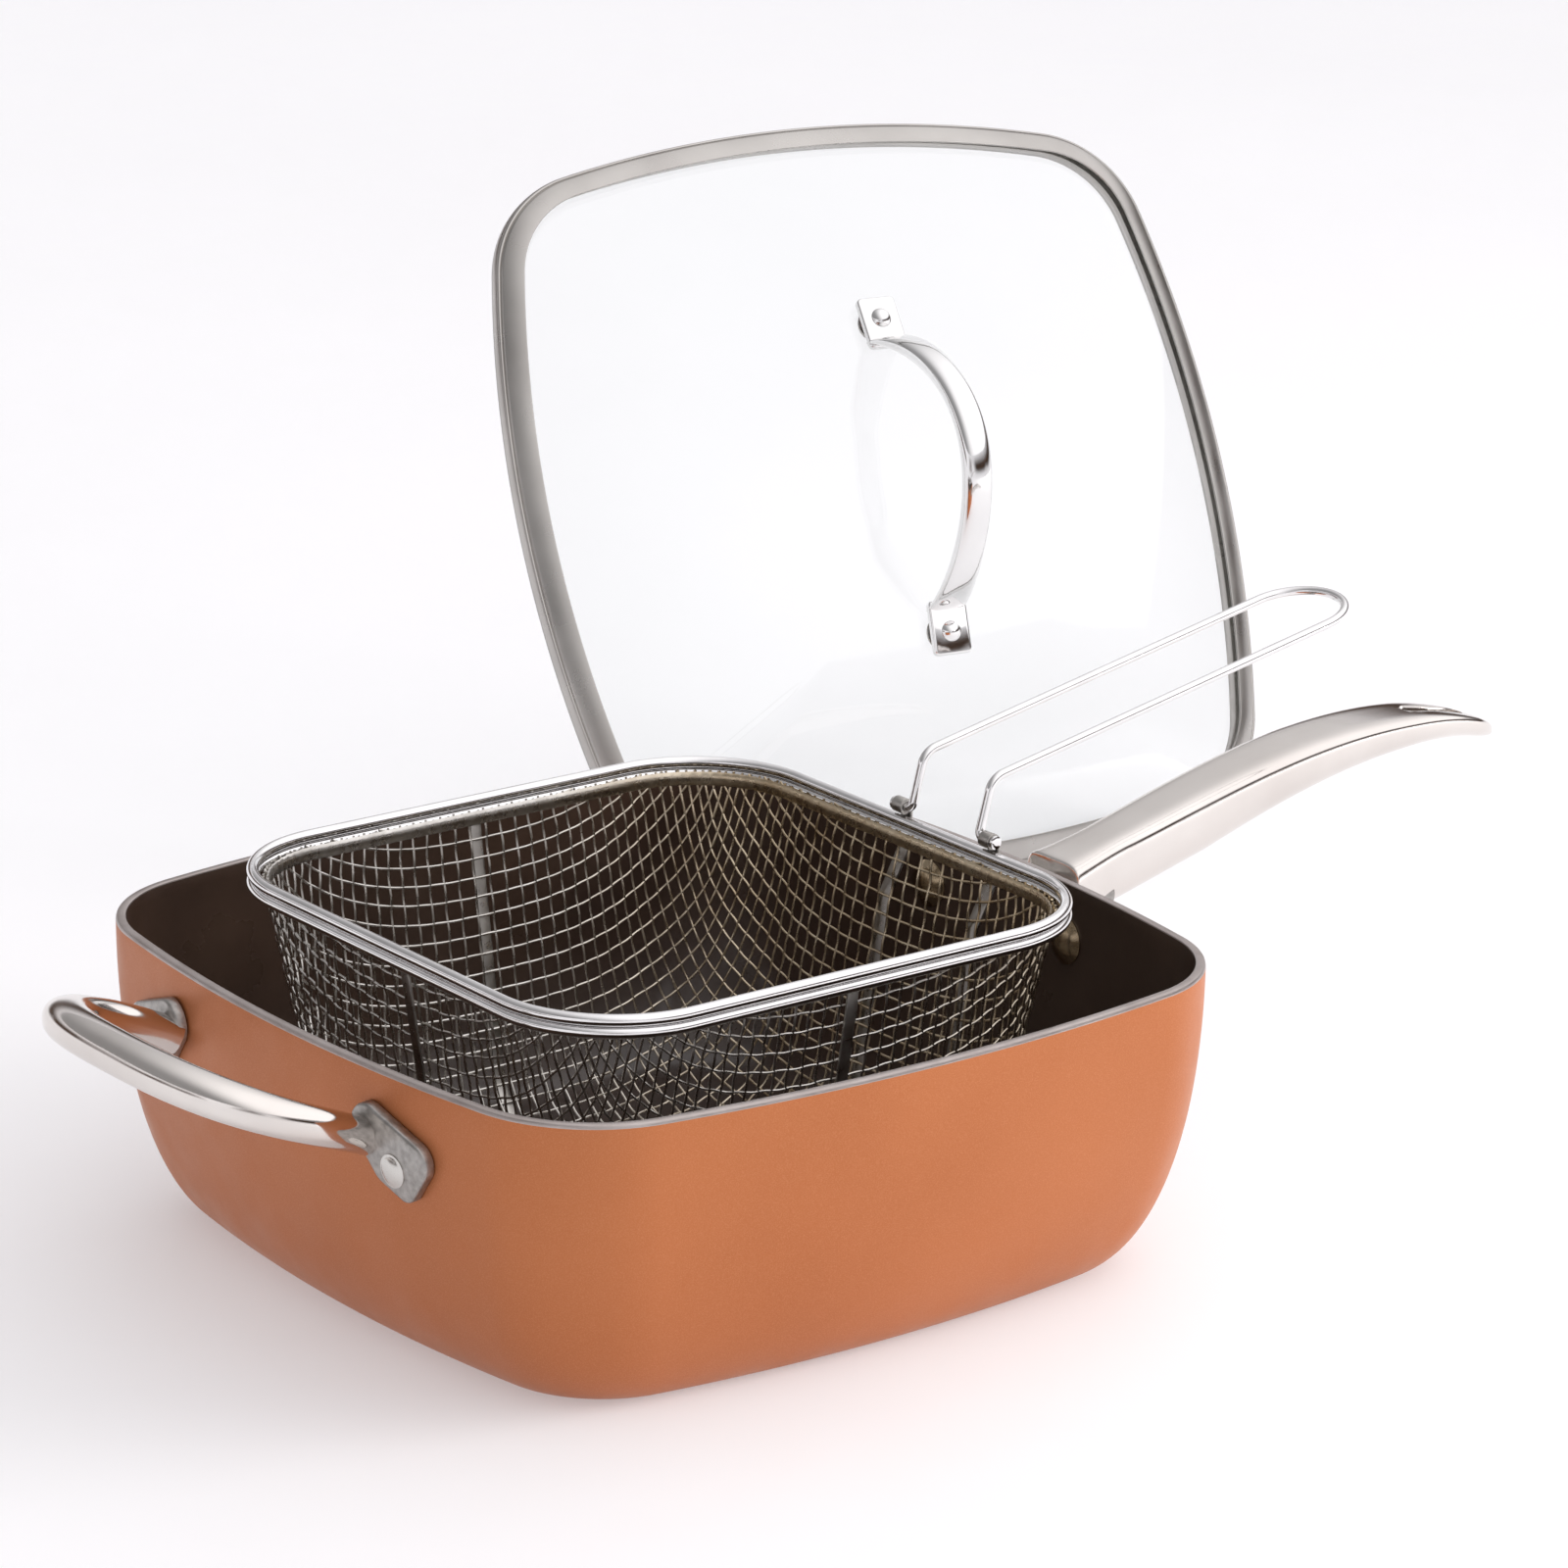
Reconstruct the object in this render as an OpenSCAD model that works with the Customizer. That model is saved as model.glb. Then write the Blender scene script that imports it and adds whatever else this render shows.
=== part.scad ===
// Square deep-frying pan set: a deep pan with two riveted handles, a wire basket that
// stands in it and a domed glass lid that stands behind it. Millimetres. The origin is
// the middle of the pan's flat base, +X runs along the long handle and +Z is up.

/* [Pan] */
// Half width across the rim at the middle of a side
pan_half = 140; // [130:1:150]
// Height of the rim above the table
pan_height = 98; // [90:1:106]
// Half width of the flat base at the middle of a side
base_half = 108.3; // [100:0.1:114]
// How far each side of the rim bulges
rim_bulge = 16.4; // [10:0.2:20]
// Corner radius at the rim
rim_corner = 45.5; // [36:0.5:52]
// How far each side of the flat base bulges
base_bulge = 11.5; // [8:0.5:14]
// Corner radius of the flat base
base_corner = 32; // [26:1:38]
// Roundness of the wall's curve from base to rim
wall_power = 2.16; // [1.9:0.02:2.5]
// Thickness of the wall
pan_wall = 3.2; // [2.6:0.1:3.6]
// Thickness of the base
pan_floor = 4; // [3:0.1:5]

/* [Long handle] */
// Distance from the pan's middle to the near end of the handle
handle_start = 158; // [156:0.5:164]
// Distance from the pan's middle to the tip
handle_end = 349.4; // [340:0.2:370]
// Height of the crown at the near end
crown_start = 93; // [90:0.5:95]
// Rise of the crown from the near end to its highest point
crown_rise = 24.5; // [18:0.5:28]
// Largest half width of the grip
grip_half = 12.5; // [11:0.5:14]
// Distance from the pan's middle to the middle of the hanging slot
slot_mid = 321.5; // [316:0.5:324]
// Length of the hanging slot, end to end
slot_length = 26; // [20:1:30]
// Width of the hanging slot
slot_width = 8; // [6:0.5:9]
// Height of the long handle's rivets
bracket_z = 79; // [74:0.5:80]
// Sideways distance of each rivet from the handle's middle
bracket_rivet_y = 35; // [30:0.5:38]

/* [Helper handle] */
// Sideways place of the loop's middle
helper_y = 5.5; // [0:0.5:10]
// Half length of the loop at its ends
helper_half = 64.5; // [56:0.5:66]
// How far the loop reaches out from the wall
helper_reach = 54; // [44:1:60]
// How far the loop rises from the wall to its grip
helper_rise = 21; // [10:0.5:26]
// Height of the loop's feet
helper_foot_z = 76.5; // [72:0.5:80]
// Width of the bar at the grip
helper_bar = 15; // [12:0.5:16]
// Thickness of the bar at the grip
helper_thick = 12; // [9:0.5:12.5]

/* [Basket] */
// Half width of the rim rings at their wire centres
basket_half = 100.9; // [96:0.1:104]
// Corner radius of the rim rings at their wire centres
ring_corner = 40; // [34:0.5:46]
// Height of the upper ring's wire centre
ring_z = 114.5; // [110:0.5:118]
// Radius of the ring wire
ring_wire = 1.9; // [1.6:0.1:2]
// Gap between the basket's feet and the pan's floor
basket_gap = 0.4; // [0.3:0.1:1]
// Thickness of the woven net
net_thick = 0.9; // [0.8:0.1:1.2]
// Width of the flat straps under the net
strap_width = 4; // [3:0.5:5]
// Thickness of the flat straps
strap_thick = 1; // [0.8:0.1:1.2]

/* [Basket handle] */
// Sideways place of the wire handle's middle
wire_y = -14.7; // [-16:0.1:0]
// Half the spacing of its two wires
wire_half = 16.9; // [14:0.1:20]
// Radius of its wire
wire_r = 1.5; // [1.2:0.1:1.6]
// Length of the upright legs up to the knee
leg_length = 18.7; // [16:0.1:22]
// Slope of the upright legs, in degrees above level
leg_angle = 75; // [70:1:85]
// Slope of the arms, in degrees above level
arm_angle = 11.1; // [5:0.1:18]
// Length of the arms from knee to bow
arm_length = 141; // [120:1:150]

/* [Lid] */
// Half width of the lid at the middle of a side
lid_half = 142.6; // [141:0.1:146]
// How far each side of the lid bulges
lid_bulge = 22.4; // [18:0.2:24]
// Corner radius of the lid
lid_corner = 44; // [38:0.5:48]
// Height of the glass dome above its edge
dome_height = 32; // [24:0.5:36]
// Thickness of the glass
glass_thick = 3; // [2.6:0.1:3.4]
// Distance of the lid's middle behind the pan's, across the long handle
lid_y = 286.7; // [280:0.1:320]
// Distance of the lid's middle along the long handle
lid_x = 310.6; // [280:0.1:330]
// How far the standing lid leans back, in degrees from upright
lid_lean = 30.25; // [20:0.25:35]
// How far the standing lid is turned, in degrees
lid_turn = -11.1; // [-20:0.1:0]
// Distance of each handle screw from the lid's middle
lid_screw_y = 58.5; // [54:0.5:62]
// Height of the lid handle's arch above its pads
arch_height = 50; // [40:0.5:54]
// Width of the lid handle's bar
arch_width = 11; // [9:0.5:12]

/* [Hidden] */
eps = 0.01;
fit = 0.05;
touch = 0.12;
side_steps = 8;
corner_steps = 8;
wall_steps = 12;

shank_r = 3;
pad_thick = 3.5;
head_r = 5.2;
dome_r = 7.8;
lid_wire = 2.4;

net_top = ring_z - 2;
net_top_half = basket_half - ring_wire - 0.7;
net_floor = pan_floor + basket_gap + 2.2 * strap_thick;
net_heel = 28;
net_flat = 57;
net_heel_end = 80;
eye_r = 2.6;
eye_width = 5;
elbow_r = 2.2;
pin_length = eye_width + 0.6;
pivot_x = basket_half + 0.4;
pivot_z = ring_z + ring_wire + 0.4 + eye_r;

band_bead = 1.3;
glass_half = lid_half - 1.6;
glass_side = side_radius(lid_half, lid_bulge) - 1.6;
glass_bulge = glass_side - sqrt(glass_side * glass_side - glass_half * glass_half);
glass_edge = glass_thick + 0.15;
dome_power = 2.2;
lid_z = lid_half * cos(lid_lean) + band_bead * sin(lid_lean);

// ---- rounded square outlines -------------------------------------------------------

// Radius of a side that bulges by b over the half width w
function side_radius(w, b) = (w * w + b * b) / (2 * b);

// Distance of a corner arc's centre from both axes
function corner_at(w, b, c) =
    let (q = w - side_radius(w, b), d = side_radius(w, b) - c)
    (q + sqrt(2 * d * d - q * q)) / 2;

// Half angle covered by one side arc
function side_angle(w, b, c) =
    atan2(corner_at(w, b, c), corner_at(w, b, c) - w + side_radius(w, b));

// One quarter of the outline, moved inwards by t
function quarter(w, b, c, t) =
    let (r = side_radius(w, b), q = w - r, m = corner_at(w, b, c), a = side_angle(w, b, c))
    concat(
        [for (i = [0 : side_steps - 1]) let (s = a * (2 * i / side_steps - 1))
            [q + (r - t) * cos(s), (r - t) * sin(s)]],
        [for (i = [0 : corner_steps - 1]) let (s = a + (90 - 2 * a) * i / corner_steps)
            [m + (c - t) * cos(s), m + (c - t) * sin(s)]]);

// The whole outline at height z, moved inwards by t
function outline(w, b, c, t, z) =
    [for (k = [0 : 3]) for (p = quarter(w, b, c, t))
        [p[0] * cos(90 * k) - p[1] * sin(90 * k), p[0] * sin(90 * k) + p[1] * cos(90 * k), z]];

// Closed skin through a row of rings with the same number of points, capped at both ends
module skin(rings) {
    n = len(rings[0]);
    m = len(rings);
    points = [for (r = rings) for (p = r) p];
    sides = [for (i = [0 : m - 2]) for (j = [0 : n - 1]) for (half = [0, 1])
        let (a = i * n + j, b = i * n + (j + 1) % n)
        half == 0 ? [a, b + n, b] : [a, a + n, b + n]];
    first = [for (j = [0 : n - 1]) j];
    last = [for (j = [n - 1 : -1 : 0]) (m - 1) * n + j];
    polyhedron(points, concat([first, last], sides), convexity = 10);
}

// Skin through rings that close on themselves, like a hoop
module hoop(rings) {
    n = len(rings[0]);
    m = len(rings);
    points = [for (r = rings) for (p = r) p];
    sides = [for (i = [0 : m - 1]) for (j = [0 : n - 1]) for (half = [0, 1])
        let (a = i * n + j, b = i * n + (j + 1) % n,
             c = ((i + 1) % m) * n + (j + 1) % n, d = ((i + 1) % m) * n + j)
        half == 0 ? [a, b, c] : [a, c, d]];
    polyhedron(points, sides, convexity = 10);
}

// ---- pan wall ----------------------------------------------------------------------

// Share of the way out from base to rim at a share u of the height
function wall_out(u) = pow(1 - pow(1 - u, wall_power), 1 / wall_power);
function wall_half(z) = base_half + (pan_half - base_half) * wall_out(z / pan_height);
function wall_bulge(z) = base_bulge + (rim_bulge - base_bulge) * wall_out(z / pan_height);
function wall_radius(z) = side_radius(wall_half(z), wall_bulge(z));

// Outer face of the +X wall at a sideways place and height
function wall_x(y, z) = wall_half(z) - wall_radius(z) + sqrt(pow(wall_radius(z), 2) - y * y);
function wall_tilt(z) = atan((wall_half(z + 1) - wall_half(z - 1)) / 2);
function wall_yaw(y, z) = asin(y / wall_radius(z));

// Rings of the pan's face: base_z is where it starts, inset the distance inside
function pan_ring(a, base_z, inset) =
    let (s = pow(sin(a), 2 / wall_power), u = 1 - pow(cos(a), 2 / wall_power))
    outline(base_half + (pan_half - base_half) * s, base_bulge + (rim_bulge - base_bulge) * s,
        base_corner + (rim_corner - base_corner) * s, inset,
        base_z + (pan_height - base_z) * u);

// Puts its children on the +X wall with their Z axis along the wall's outward normal
module on_wall(y, z) {
    translate([wall_x(y, z), y, z])
        rotate([0, 90 + wall_tilt(z), wall_yaw(y, z)])
            children();
}

module pan_body() {
    color([0.72, 0.42, 0.28])
    difference() {
        skin(concat(
            [for (i = [0 : wall_steps]) pan_ring(90 * i / wall_steps, 0, 0)],
            [for (i = [wall_steps : -1 : 0]) pan_ring(90 * i / wall_steps, pan_floor, pan_wall)]));
        for (s = [-1, 1]) {
            on_wall(s * bracket_rivet_y, bracket_z)
                cylinder(r = shank_r + fit, h = 24, center = true, $fn = 48);
            helper_place(s)
                cylinder(r = shank_r + fit, h = 24, center = true, $fn = 48);
        }
    }
}

// ---- long handle -------------------------------------------------------------------

module long_handle_bracket() {
    r = wall_radius(bracket_z);
    x0 = wall_x(0, bracket_z) + touch;
    color([0.75, 0.75, 0.76])
    difference() {
        union() {
            translate([x0, 0, bracket_z])
            rotate([0, wall_tilt(bracket_z), 0])
            intersection() {
                translate([-r, 0, -20])
                difference() {
                    cylinder(r = r + pad_thick, h = 40, $fn = 360);
                    translate([0, 0, -1])
                        cylinder(r = r, h = 42, $fn = 360);
                }
                rotate([90, 0, 90])
                translate([0, 0, -20])
                linear_extrude(40) {
                    square([2 * bracket_rivet_y, 18], center = true);
                    for (s = [-1, 1])
                        translate([s * bracket_rivet_y, 0])
                            circle(r = 9, $fn = 48);
                    square([34, 26], center = true);
                }
            }
            bracket_tongue(0, handle_start + 18 - x0 - 1);
        }
        for (s = [-1, 1])
            on_wall(s * bracket_rivet_y, bracket_z)
                cylinder(r = shank_r + fit, h = 40, center = true, $fn = 48);
    }
}

// Flat-sided tongue that runs out of the bracket and into the handle
module bracket_tongue(grow, reach) {
    translate([wall_x(0, bracket_z) + touch + 1, 0, bracket_z + 1])
    rotate([0, 90, 0]) {
        for (s = [-1, 1])
            translate([0, s * 4.5, 0])
                cylinder(r = 6 + grow, h = reach, $fn = 64);
        translate([-6 - grow, -4.5, 0])
            cube([12 + 2 * grow, 9, reach]);
    }
}

module long_handle_rivets() {
    color([0.78, 0.78, 0.78])
    for (s = [-1, 1])
        on_wall(s * bracket_rivet_y, bracket_z) {
            translate([0, 0, -pan_wall - touch - 0.3])
                cylinder(r = shank_r, h = pan_wall + pad_thick + 1, $fn = 48);
            translate([0, 0, pad_thick + 2 * touch + 0.1])
                cylinder(r = head_r, h = 1.8, $fn = 48);
            translate([0, 0, -pan_wall - touch - 0.3])
                mirror([0, 0, 1])
                    button(dome_r, 3.2);
        }
}

// Low dome of radius r and height h on a flat face
module button(r, h) {
    ball = (r * r + h * h) / (2 * h);
    intersection() {
        translate([0, 0, h - ball])
            sphere(r = ball, $fn = 96);
        cylinder(r = r, h = h + 1, $fn = 64);
    }
}

// Crown, waist, belly and half width of the long handle at a share t of its length
function crown_z(t) = crown_start + crown_rise * pow(sin(180 * pow(t, 1.02) * 0.72), 1.15)
    - 1.5 * pow(t, 6) - 4.5 * pow(max(0, (t - 0.78) / 0.22), 2.2);
function handle_half(t) = t < 0.12 ? 13.2 - 2.4 * sin(90 * t / 0.12)
    : 10.8 + (grip_half - 10.8) * pow(sin(180 * (t - 0.12) / 0.88), 0.7)
      - 7.6 * pow(max(0, (t - 0.72) / 0.28), 2.6);
function belly_drop(t) = 27 - 3.5 * sin(90 * min(1, t / 0.12)) - 3 * t
    - 14.5 * pow(max(0, (t - 0.3) / 0.7), 1.1);

// Share of the section that is left where the last of the handle rounds off
function tip_share(t) = t < 0.94 ? 1 : sqrt(1 - pow((t - 0.94) / 0.0615, 2));

// Cross-section of the long handle: a square-shouldered top over a round belly
function handle_ring(t) =
    let (x = handle_start + (handle_end - handle_start) * t, w = handle_half(t) * tip_share(t),
         middle = crown_z(t) - belly_drop(t) / 2, deep = belly_drop(t) * pow(tip_share(t), 0.7),
         top = middle + deep / 2, low = middle - deep / 2, mid = top - deep * 0.38)
    [for (i = [0 : 35]) let (a = 10 * i, e = a < 180 ? 0.42 : 0.86)
        [x, w * sign(cos(a)) * pow(abs(cos(a)), e),
         mid + (a < 180 ? top - mid : mid - low) * sign(sin(a)) * pow(abs(sin(a)), e)]];

module long_handle() {
    color([0.77, 0.76, 0.75])
    difference() {
        skin(concat(
            [for (i = [0 : 23]) handle_ring(0.94 * i / 23)],
            [for (i = [1 : 6]) handle_ring(0.94 + 0.06 * sin(15 * i))]));
        bracket_tongue(fit, 60 - (60 - handle_start - 20 + wall_x(0, bracket_z)));
        translate([slot_mid, 0, 70]) {
            for (s = [-1, 1])
                translate([s * (slot_length - slot_width) / 2, 0, 0])
                    cylinder(r = slot_width / 2, h = 80, $fn = 48);
            translate([-(slot_length - slot_width) / 2, -slot_width / 2, 0])
                cube([slot_length - slot_width, slot_width, 80]);
        }
    }
}

// ---- helper handle -----------------------------------------------------------------

helper_rivet_y = helper_half + 1;
helper_rivet_z = 70;

// Puts its children on the -X wall at the near (s = -1) or far (s = 1) rivet
module helper_place(s) {
    mirror([1, 0, 0])
        on_wall(helper_y + s * helper_rivet_y, helper_rivet_z)
            children();
}

// Centre line of the loop at angle a from one foot to the other
function loop_point(a) =
    let (d = pow(sin(a), 0.75), c = sign(cos(a)) * pow(abs(cos(a)), 0.75),
         far = wall_x(0.8 * helper_half + helper_y, helper_foot_z),
         near = wall_x(0.8 * helper_half - helper_y, helper_foot_z))
    [-near - (far - near) * (1 + c) / 2 - 2.5 - (helper_reach - 2.3) * d,
     helper_y + (helper_half * (1 - 0.19 * (1 - d))) * c,
     helper_foot_z + helper_rise * pow(d, 0.93)];

function unit(v) = v / norm(v);

// Oval ring square to the loop at angle a
function loop_ring(a) =
    let (p = loop_point(a), ahead = loop_point(min(180, a + 0.5)),
         behind = loop_point(max(0, a - 0.5)), t = unit(ahead - behind),
         n = unit(cross(t, [0, 0, 1])), b = cross(t, n),
         k = pow(sin(a), 0.6), w = (helper_bar - 2.5 * (1 - k)) / 2, h = (helper_thick - 0.8 * (1 - k)) / 2)
    [for (i = [0 : 19]) let (s = 18 * i)
        p + n * w * sign(cos(s)) * pow(abs(cos(s)), 0.86)
          + b * h * sign(sin(s)) * pow(abs(sin(s)), 0.86)];

// Plate under one foot: x is down the wall and y is away from the loop's middle
module helper_pad() {
    translate([0, 0, touch])
    linear_extrude(pad_thick) {
        hull() {
            translate([-10.5, -11])
                circle(r = 7.5, $fn = 48);
            translate([-4.5, 8.5])
                circle(r = 6.5, $fn = 48);
            translate([-2, -3])
                circle(r = 8, $fn = 48);
            translate([4.5, 4.5])
                circle(r = 4.5, $fn = 48);
        }
    }
}

module helper_handle() {
    color([0.8, 0.79, 0.78])
    difference() {
        union() {
            skin([for (i = [0 : 44]) loop_ring(180 * i / 44)]);
            helper_place(1)
                helper_pad();
            helper_place(-1)
                mirror([0, 1, 0])
                    helper_pad();
        }
        for (s = [-1, 1])
            helper_place(s)
                cylinder(r = shank_r + fit, h = 30, center = true, $fn = 48);
    }
}

module helper_rivets() {
    color([0.8, 0.8, 0.8])
    for (s = [-1, 1])
        helper_place(s) {
            translate([0, 0, -pan_wall - touch - 0.4])
                cylinder(r = shank_r, h = pan_wall + pad_thick + 1, $fn = 48);
            translate([0, 0, pad_thick + 2 * touch])
                button(head_r, 1.7);
            translate([0, 0, -pan_wall - touch - 0.4])
                mirror([0, 0, 1])
                    button(head_r + 0.6, 2.4);
        }
}

// ---- basket ------------------------------------------------------------------------

// Wire ring with round corners at height z
module wire_ring(z) {
    run = basket_half - ring_corner;
    translate([0, 0, z])
    for (k = [0 : 3])
        rotate([0, 0, 90 * k]) {
            translate([basket_half, run, 0])
                rotate([90, 0, 0])
                    cylinder(r = ring_wire, h = 2 * run, $fn = 32);
            translate([run, run, 0])
                rotate_extrude(angle = 90, $fn = 96)
                    translate([ring_corner, 0])
                        circle(r = ring_wire, $fn = 32);
        }
}

module basket_rim_upper() {
    color([0.85, 0.85, 0.86])
        wire_ring(ring_z);
}

module basket_rim_lower() {
    color([0.8, 0.8, 0.82])
        wire_ring(ring_z - 2 * ring_wire - eps);
}

// Half width of the net: a round heel from the floor, then a straight draft to the top
heel_half = net_flat + net_heel * sin(net_heel_end);
heel_z = net_floor + net_heel * (1 - cos(net_heel_end));
function net_corner(w) = ring_corner - 2.6 - (net_top_half - w) * 0.3;
net_path = concat(
    [for (i = [0 : 8]) let (a = net_heel_end * i / 8)
        [net_flat + net_heel * sin(a), net_floor + net_heel * (1 - cos(a))]],
    [for (i = [1 : 4]) [heel_half + (net_top_half - heel_half) * i / 4,
        heel_z + (net_top - heel_z) * i / 4]]);

function net_ring(p, t, up) = outline(p[0], 0.3, net_corner(p[0]), t, p[1] + up);

module basket_mesh() {
    n = len(net_path);
    color([0.7, 0.7, 0.7])
    skin(concat(
        [for (i = [0 : n - 1]) net_ring(net_path[i], 0, 0)],
        [for (i = [n - 1 : -1 : 0]) net_ring(net_path[i], net_thick,
            i > 8 ? 0 : net_thick * cos(net_heel_end * i / 8))]));
}

// Outward direction of the net's face at one point of its path
function net_normal(i) =
    let (n = len(net_path), a = net_path[max(0, i - 1)], b = net_path[min(n - 1, i + 1)],
         d = unit(b - a))
    [d[1], -d[0]];

// Face of the net moved outwards by t, as a line from x = from_x on the floor to the top
function strap_line(t, from_x) = concat(
    [[from_x, net_floor - t]],
    [for (i = [0 : len(net_path) - 2])
        i == 0 ? [net_path[0][0], net_floor - t] : net_path[i] + t * net_normal(i)],
    [[net_path[len(net_path) - 1][0] - 0.65 + t, ring_z - 3 * ring_wire - 0.4]]);

// Flat strap that follows the net from from_x on the floor up the +X wall
module strap(t, from_x, width) {
    inner = strap_line(t, from_x);
    outer = strap_line(t + strap_thick, from_x);
    n = len(inner);
    rotate([90, 0, 0])
    linear_extrude(width, center = true)
        polygon(concat(inner, [for (i = [n - 1 : -1 : 0]) outer[i]]));
}

module basket_strap_cross() {
    color([0.45, 0.45, 0.46])
    for (s = [-1, 1])
        rotate([0, 0, 90 * s])
            strap(touch, -eps, strap_width);
}

module basket_strap_long() {
    color([0.45, 0.45, 0.46])
    translate([0, -8, 0])
        rotate([0, 0, 180])
            strap(strap_thick + 2 * touch, -55, strap_width);
}

// Side view of one handle strap: up the wall, round the rings and into an eye
module eye_profile() {
    x0 = basket_half + ring_wire + 0.15;
    wall = strap_line(touch, 30);
    back = strap_line(touch + strap_thick, 30);
    n = len(wall);
    difference() {
        union() {
            polygon(concat([for (i = [0 : n - 2]) wall[i]],
                [[x0, ring_z - 3 * ring_wire - 1.6], [x0, pivot_z],
                 [pivot_x + eye_r, pivot_z], [pivot_x + eye_r, ring_z - 3 * ring_wire - 2.2]],
                [for (i = [n - 2 : -1 : 0]) back[i]]));
            translate([pivot_x, pivot_z])
                circle(r = eye_r, $fn = 64);
        }
        translate([pivot_x, pivot_z])
            circle(r = wire_r + fit, $fn = 64);
    }
}

module basket_handle_straps() {
    color([0.72, 0.7, 0.66])
    for (s = [-1, 1])
        translate([0, wire_y + s * (wire_half + elbow_r + 0.3 + eye_width / 2), 0])
            rotate([90, 0, 0])
                linear_extrude(eye_width, center = true)
                    eye_profile();
}

// ---- basket handle -----------------------------------------------------------------

knee_r = 7;
knee_cut = knee_r * tan((leg_angle - arm_angle) / 2);
leg_end = (leg_length - knee_cut) * [cos(leg_angle), sin(leg_angle)];
knee_mid = leg_end + knee_r * [sin(leg_angle), -cos(leg_angle)];
arm_start = knee_mid + knee_r * [-sin(arm_angle), cos(arm_angle)];
arm_end = arm_start + (arm_length - knee_cut) * [cos(arm_angle), sin(arm_angle)];

// Points and directions along the wire on the +Y side, from its pivot pin to the bow
leg_dir = [cos(leg_angle), 0, sin(leg_angle)];
arm_dir = [cos(arm_angle), 0, sin(arm_angle)];
wire_steps = concat(
    [[[0, wire_half + elbow_r + 0.4, 0], [0, -1, 0]]],
    [for (i = [0 : 5]) let (a = 90 * i / 5)
        [[0, wire_half, 0] + elbow_r * (1 - sin(a)) * [0, 1, 0] + elbow_r * (1 - cos(a)) * leg_dir,
         cos(a) * [0, -1, 0] + sin(a) * leg_dir]],
    [for (i = [0 : 7]) let (a = leg_angle - (leg_angle - arm_angle) * i / 7)
        [[knee_mid[0] - knee_r * sin(a), wire_half, knee_mid[1] + knee_r * cos(a)],
         [cos(a), 0, sin(a)]]],
    [for (i = [0 : 10]) let (a = 9 * i)
        [[arm_end[0], wire_half * cos(a), arm_end[1]] + wire_half * sin(a) * arm_dir,
         cos(a) * arm_dir - sin(a) * [0, 1, 0]]]);

// Round ring of the wire square to the direction t
function wire_ring_at(p, t) =
    let (n = unit(cross(t, [-sin(arm_angle), 0, cos(arm_angle)])), b = cross(t, n))
    [for (i = [0 : 15]) p + (wire_r - 0.02) * (n * cos(22.5 * i) + b * sin(22.5 * i))];

module basket_handle() {
    last = len(wire_steps) - 1;
    color([0.84, 0.84, 0.85])
    translate([pivot_x, wire_y, pivot_z]) {
        skin(concat(
            [for (w = wire_steps) wire_ring_at(w[0], w[1])],
            [for (i = [last - 1 : -1 : 0]) let (p = wire_steps[i][0], t = wire_steps[i][1])
                wire_ring_at([p[0], -p[1], p[2]], [-t[0], t[1], -t[2]])]));
        for (s = [-1, 1])
            translate([0, s * (wire_half + elbow_r), 0])
                rotate([-90 * s, 0, 0]) {
                    cylinder(r = wire_r, h = pin_length + 0.5, $fn = 32);
                    translate([0, 0, pin_length])
                        cylinder(r = 2.3, h = 1, $fn = 32);
                }
    }
}

// ---- lid ---------------------------------------------------------------------------

// Stands its children, drawn as a flat lid with its dome up, behind the pan
module stand_lid() {
    translate([lid_x, lid_y, lid_z])
        rotate([90 - lid_lean, 0, lid_turn])
            children();
}

// Height of the glass's outer face at a share s of the way out to its edge
function dome_z(s) = glass_edge + dome_height * (1 - pow(s, dome_power));
function dome_ring(s, drop) =
    outline(glass_half * s, glass_bulge * s, (lid_corner - 1.6) * s, 0, dome_z(s) - drop);

screw_share = lid_screw_y / glass_half;
dome_slope = atan(dome_height * dome_power * pow(screw_share, dome_power - 1) / glass_half);

// Puts its children on the glass at the upper (s = 1) or lower (s = -1) screw
module on_glass(s) {
    translate([0, s * lid_screw_y, dome_z(screw_share)])
        rotate([-s * dome_slope, 0, 0])
            children();
}

module lid_glass() {
    n = 12;
    color([0.85, 0.9, 0.9, 0.35])
    stand_lid()
    difference() {
        skin(concat(
            [for (i = [0 : n]) dome_ring(0.04 + 0.96 * i / n, glass_thick)],
            [for (i = [n : -1 : 0]) dome_ring(0.04 + 0.96 * i / n, 0)]));
        for (s = [-1, 1])
            on_glass(s)
                cylinder(r = lid_wire + 0.8, h = 20, center = true, $fn = 48);
    }
}

// Cross-section of the band: [distance inside the lid's edge, height]
band_section = [
    [0, -band_bead], [0, band_bead], [0.3, 3.4], [1.2, 4.8], [9, 9], [9.2, 8],
    [1.5, glass_edge + 0.6], [1.4, -0.15], [7.6, -0.15], [7.6, -5], [6.6, -5], [6.6, -band_bead]];

module lid_band() {
    n = len(outline(lid_half, lid_bulge, lid_corner, 0, 0));
    loops = [for (p = band_section) outline(lid_half, lid_bulge, lid_corner, p[0], p[1])];
    color([0.78, 0.78, 0.77])
    stand_lid()
        hoop([for (j = [0 : n - 1]) [for (k = [0 : len(loops) - 1]) loops[k][j]]]);
}

// Centre line of the arch between the pads
pad_top = 1.7 + 2.2;
arch_half = lid_screw_y - 8;
arch_foot = dome_z(screw_share) + pad_top - 1.3;
function arch_point(t) = [0, -arch_half * cos(t),
    arch_foot + arch_height * pow(sin(t), 1.45) * (1 - 0.06 * pow(cos(t), 2))];

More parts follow.
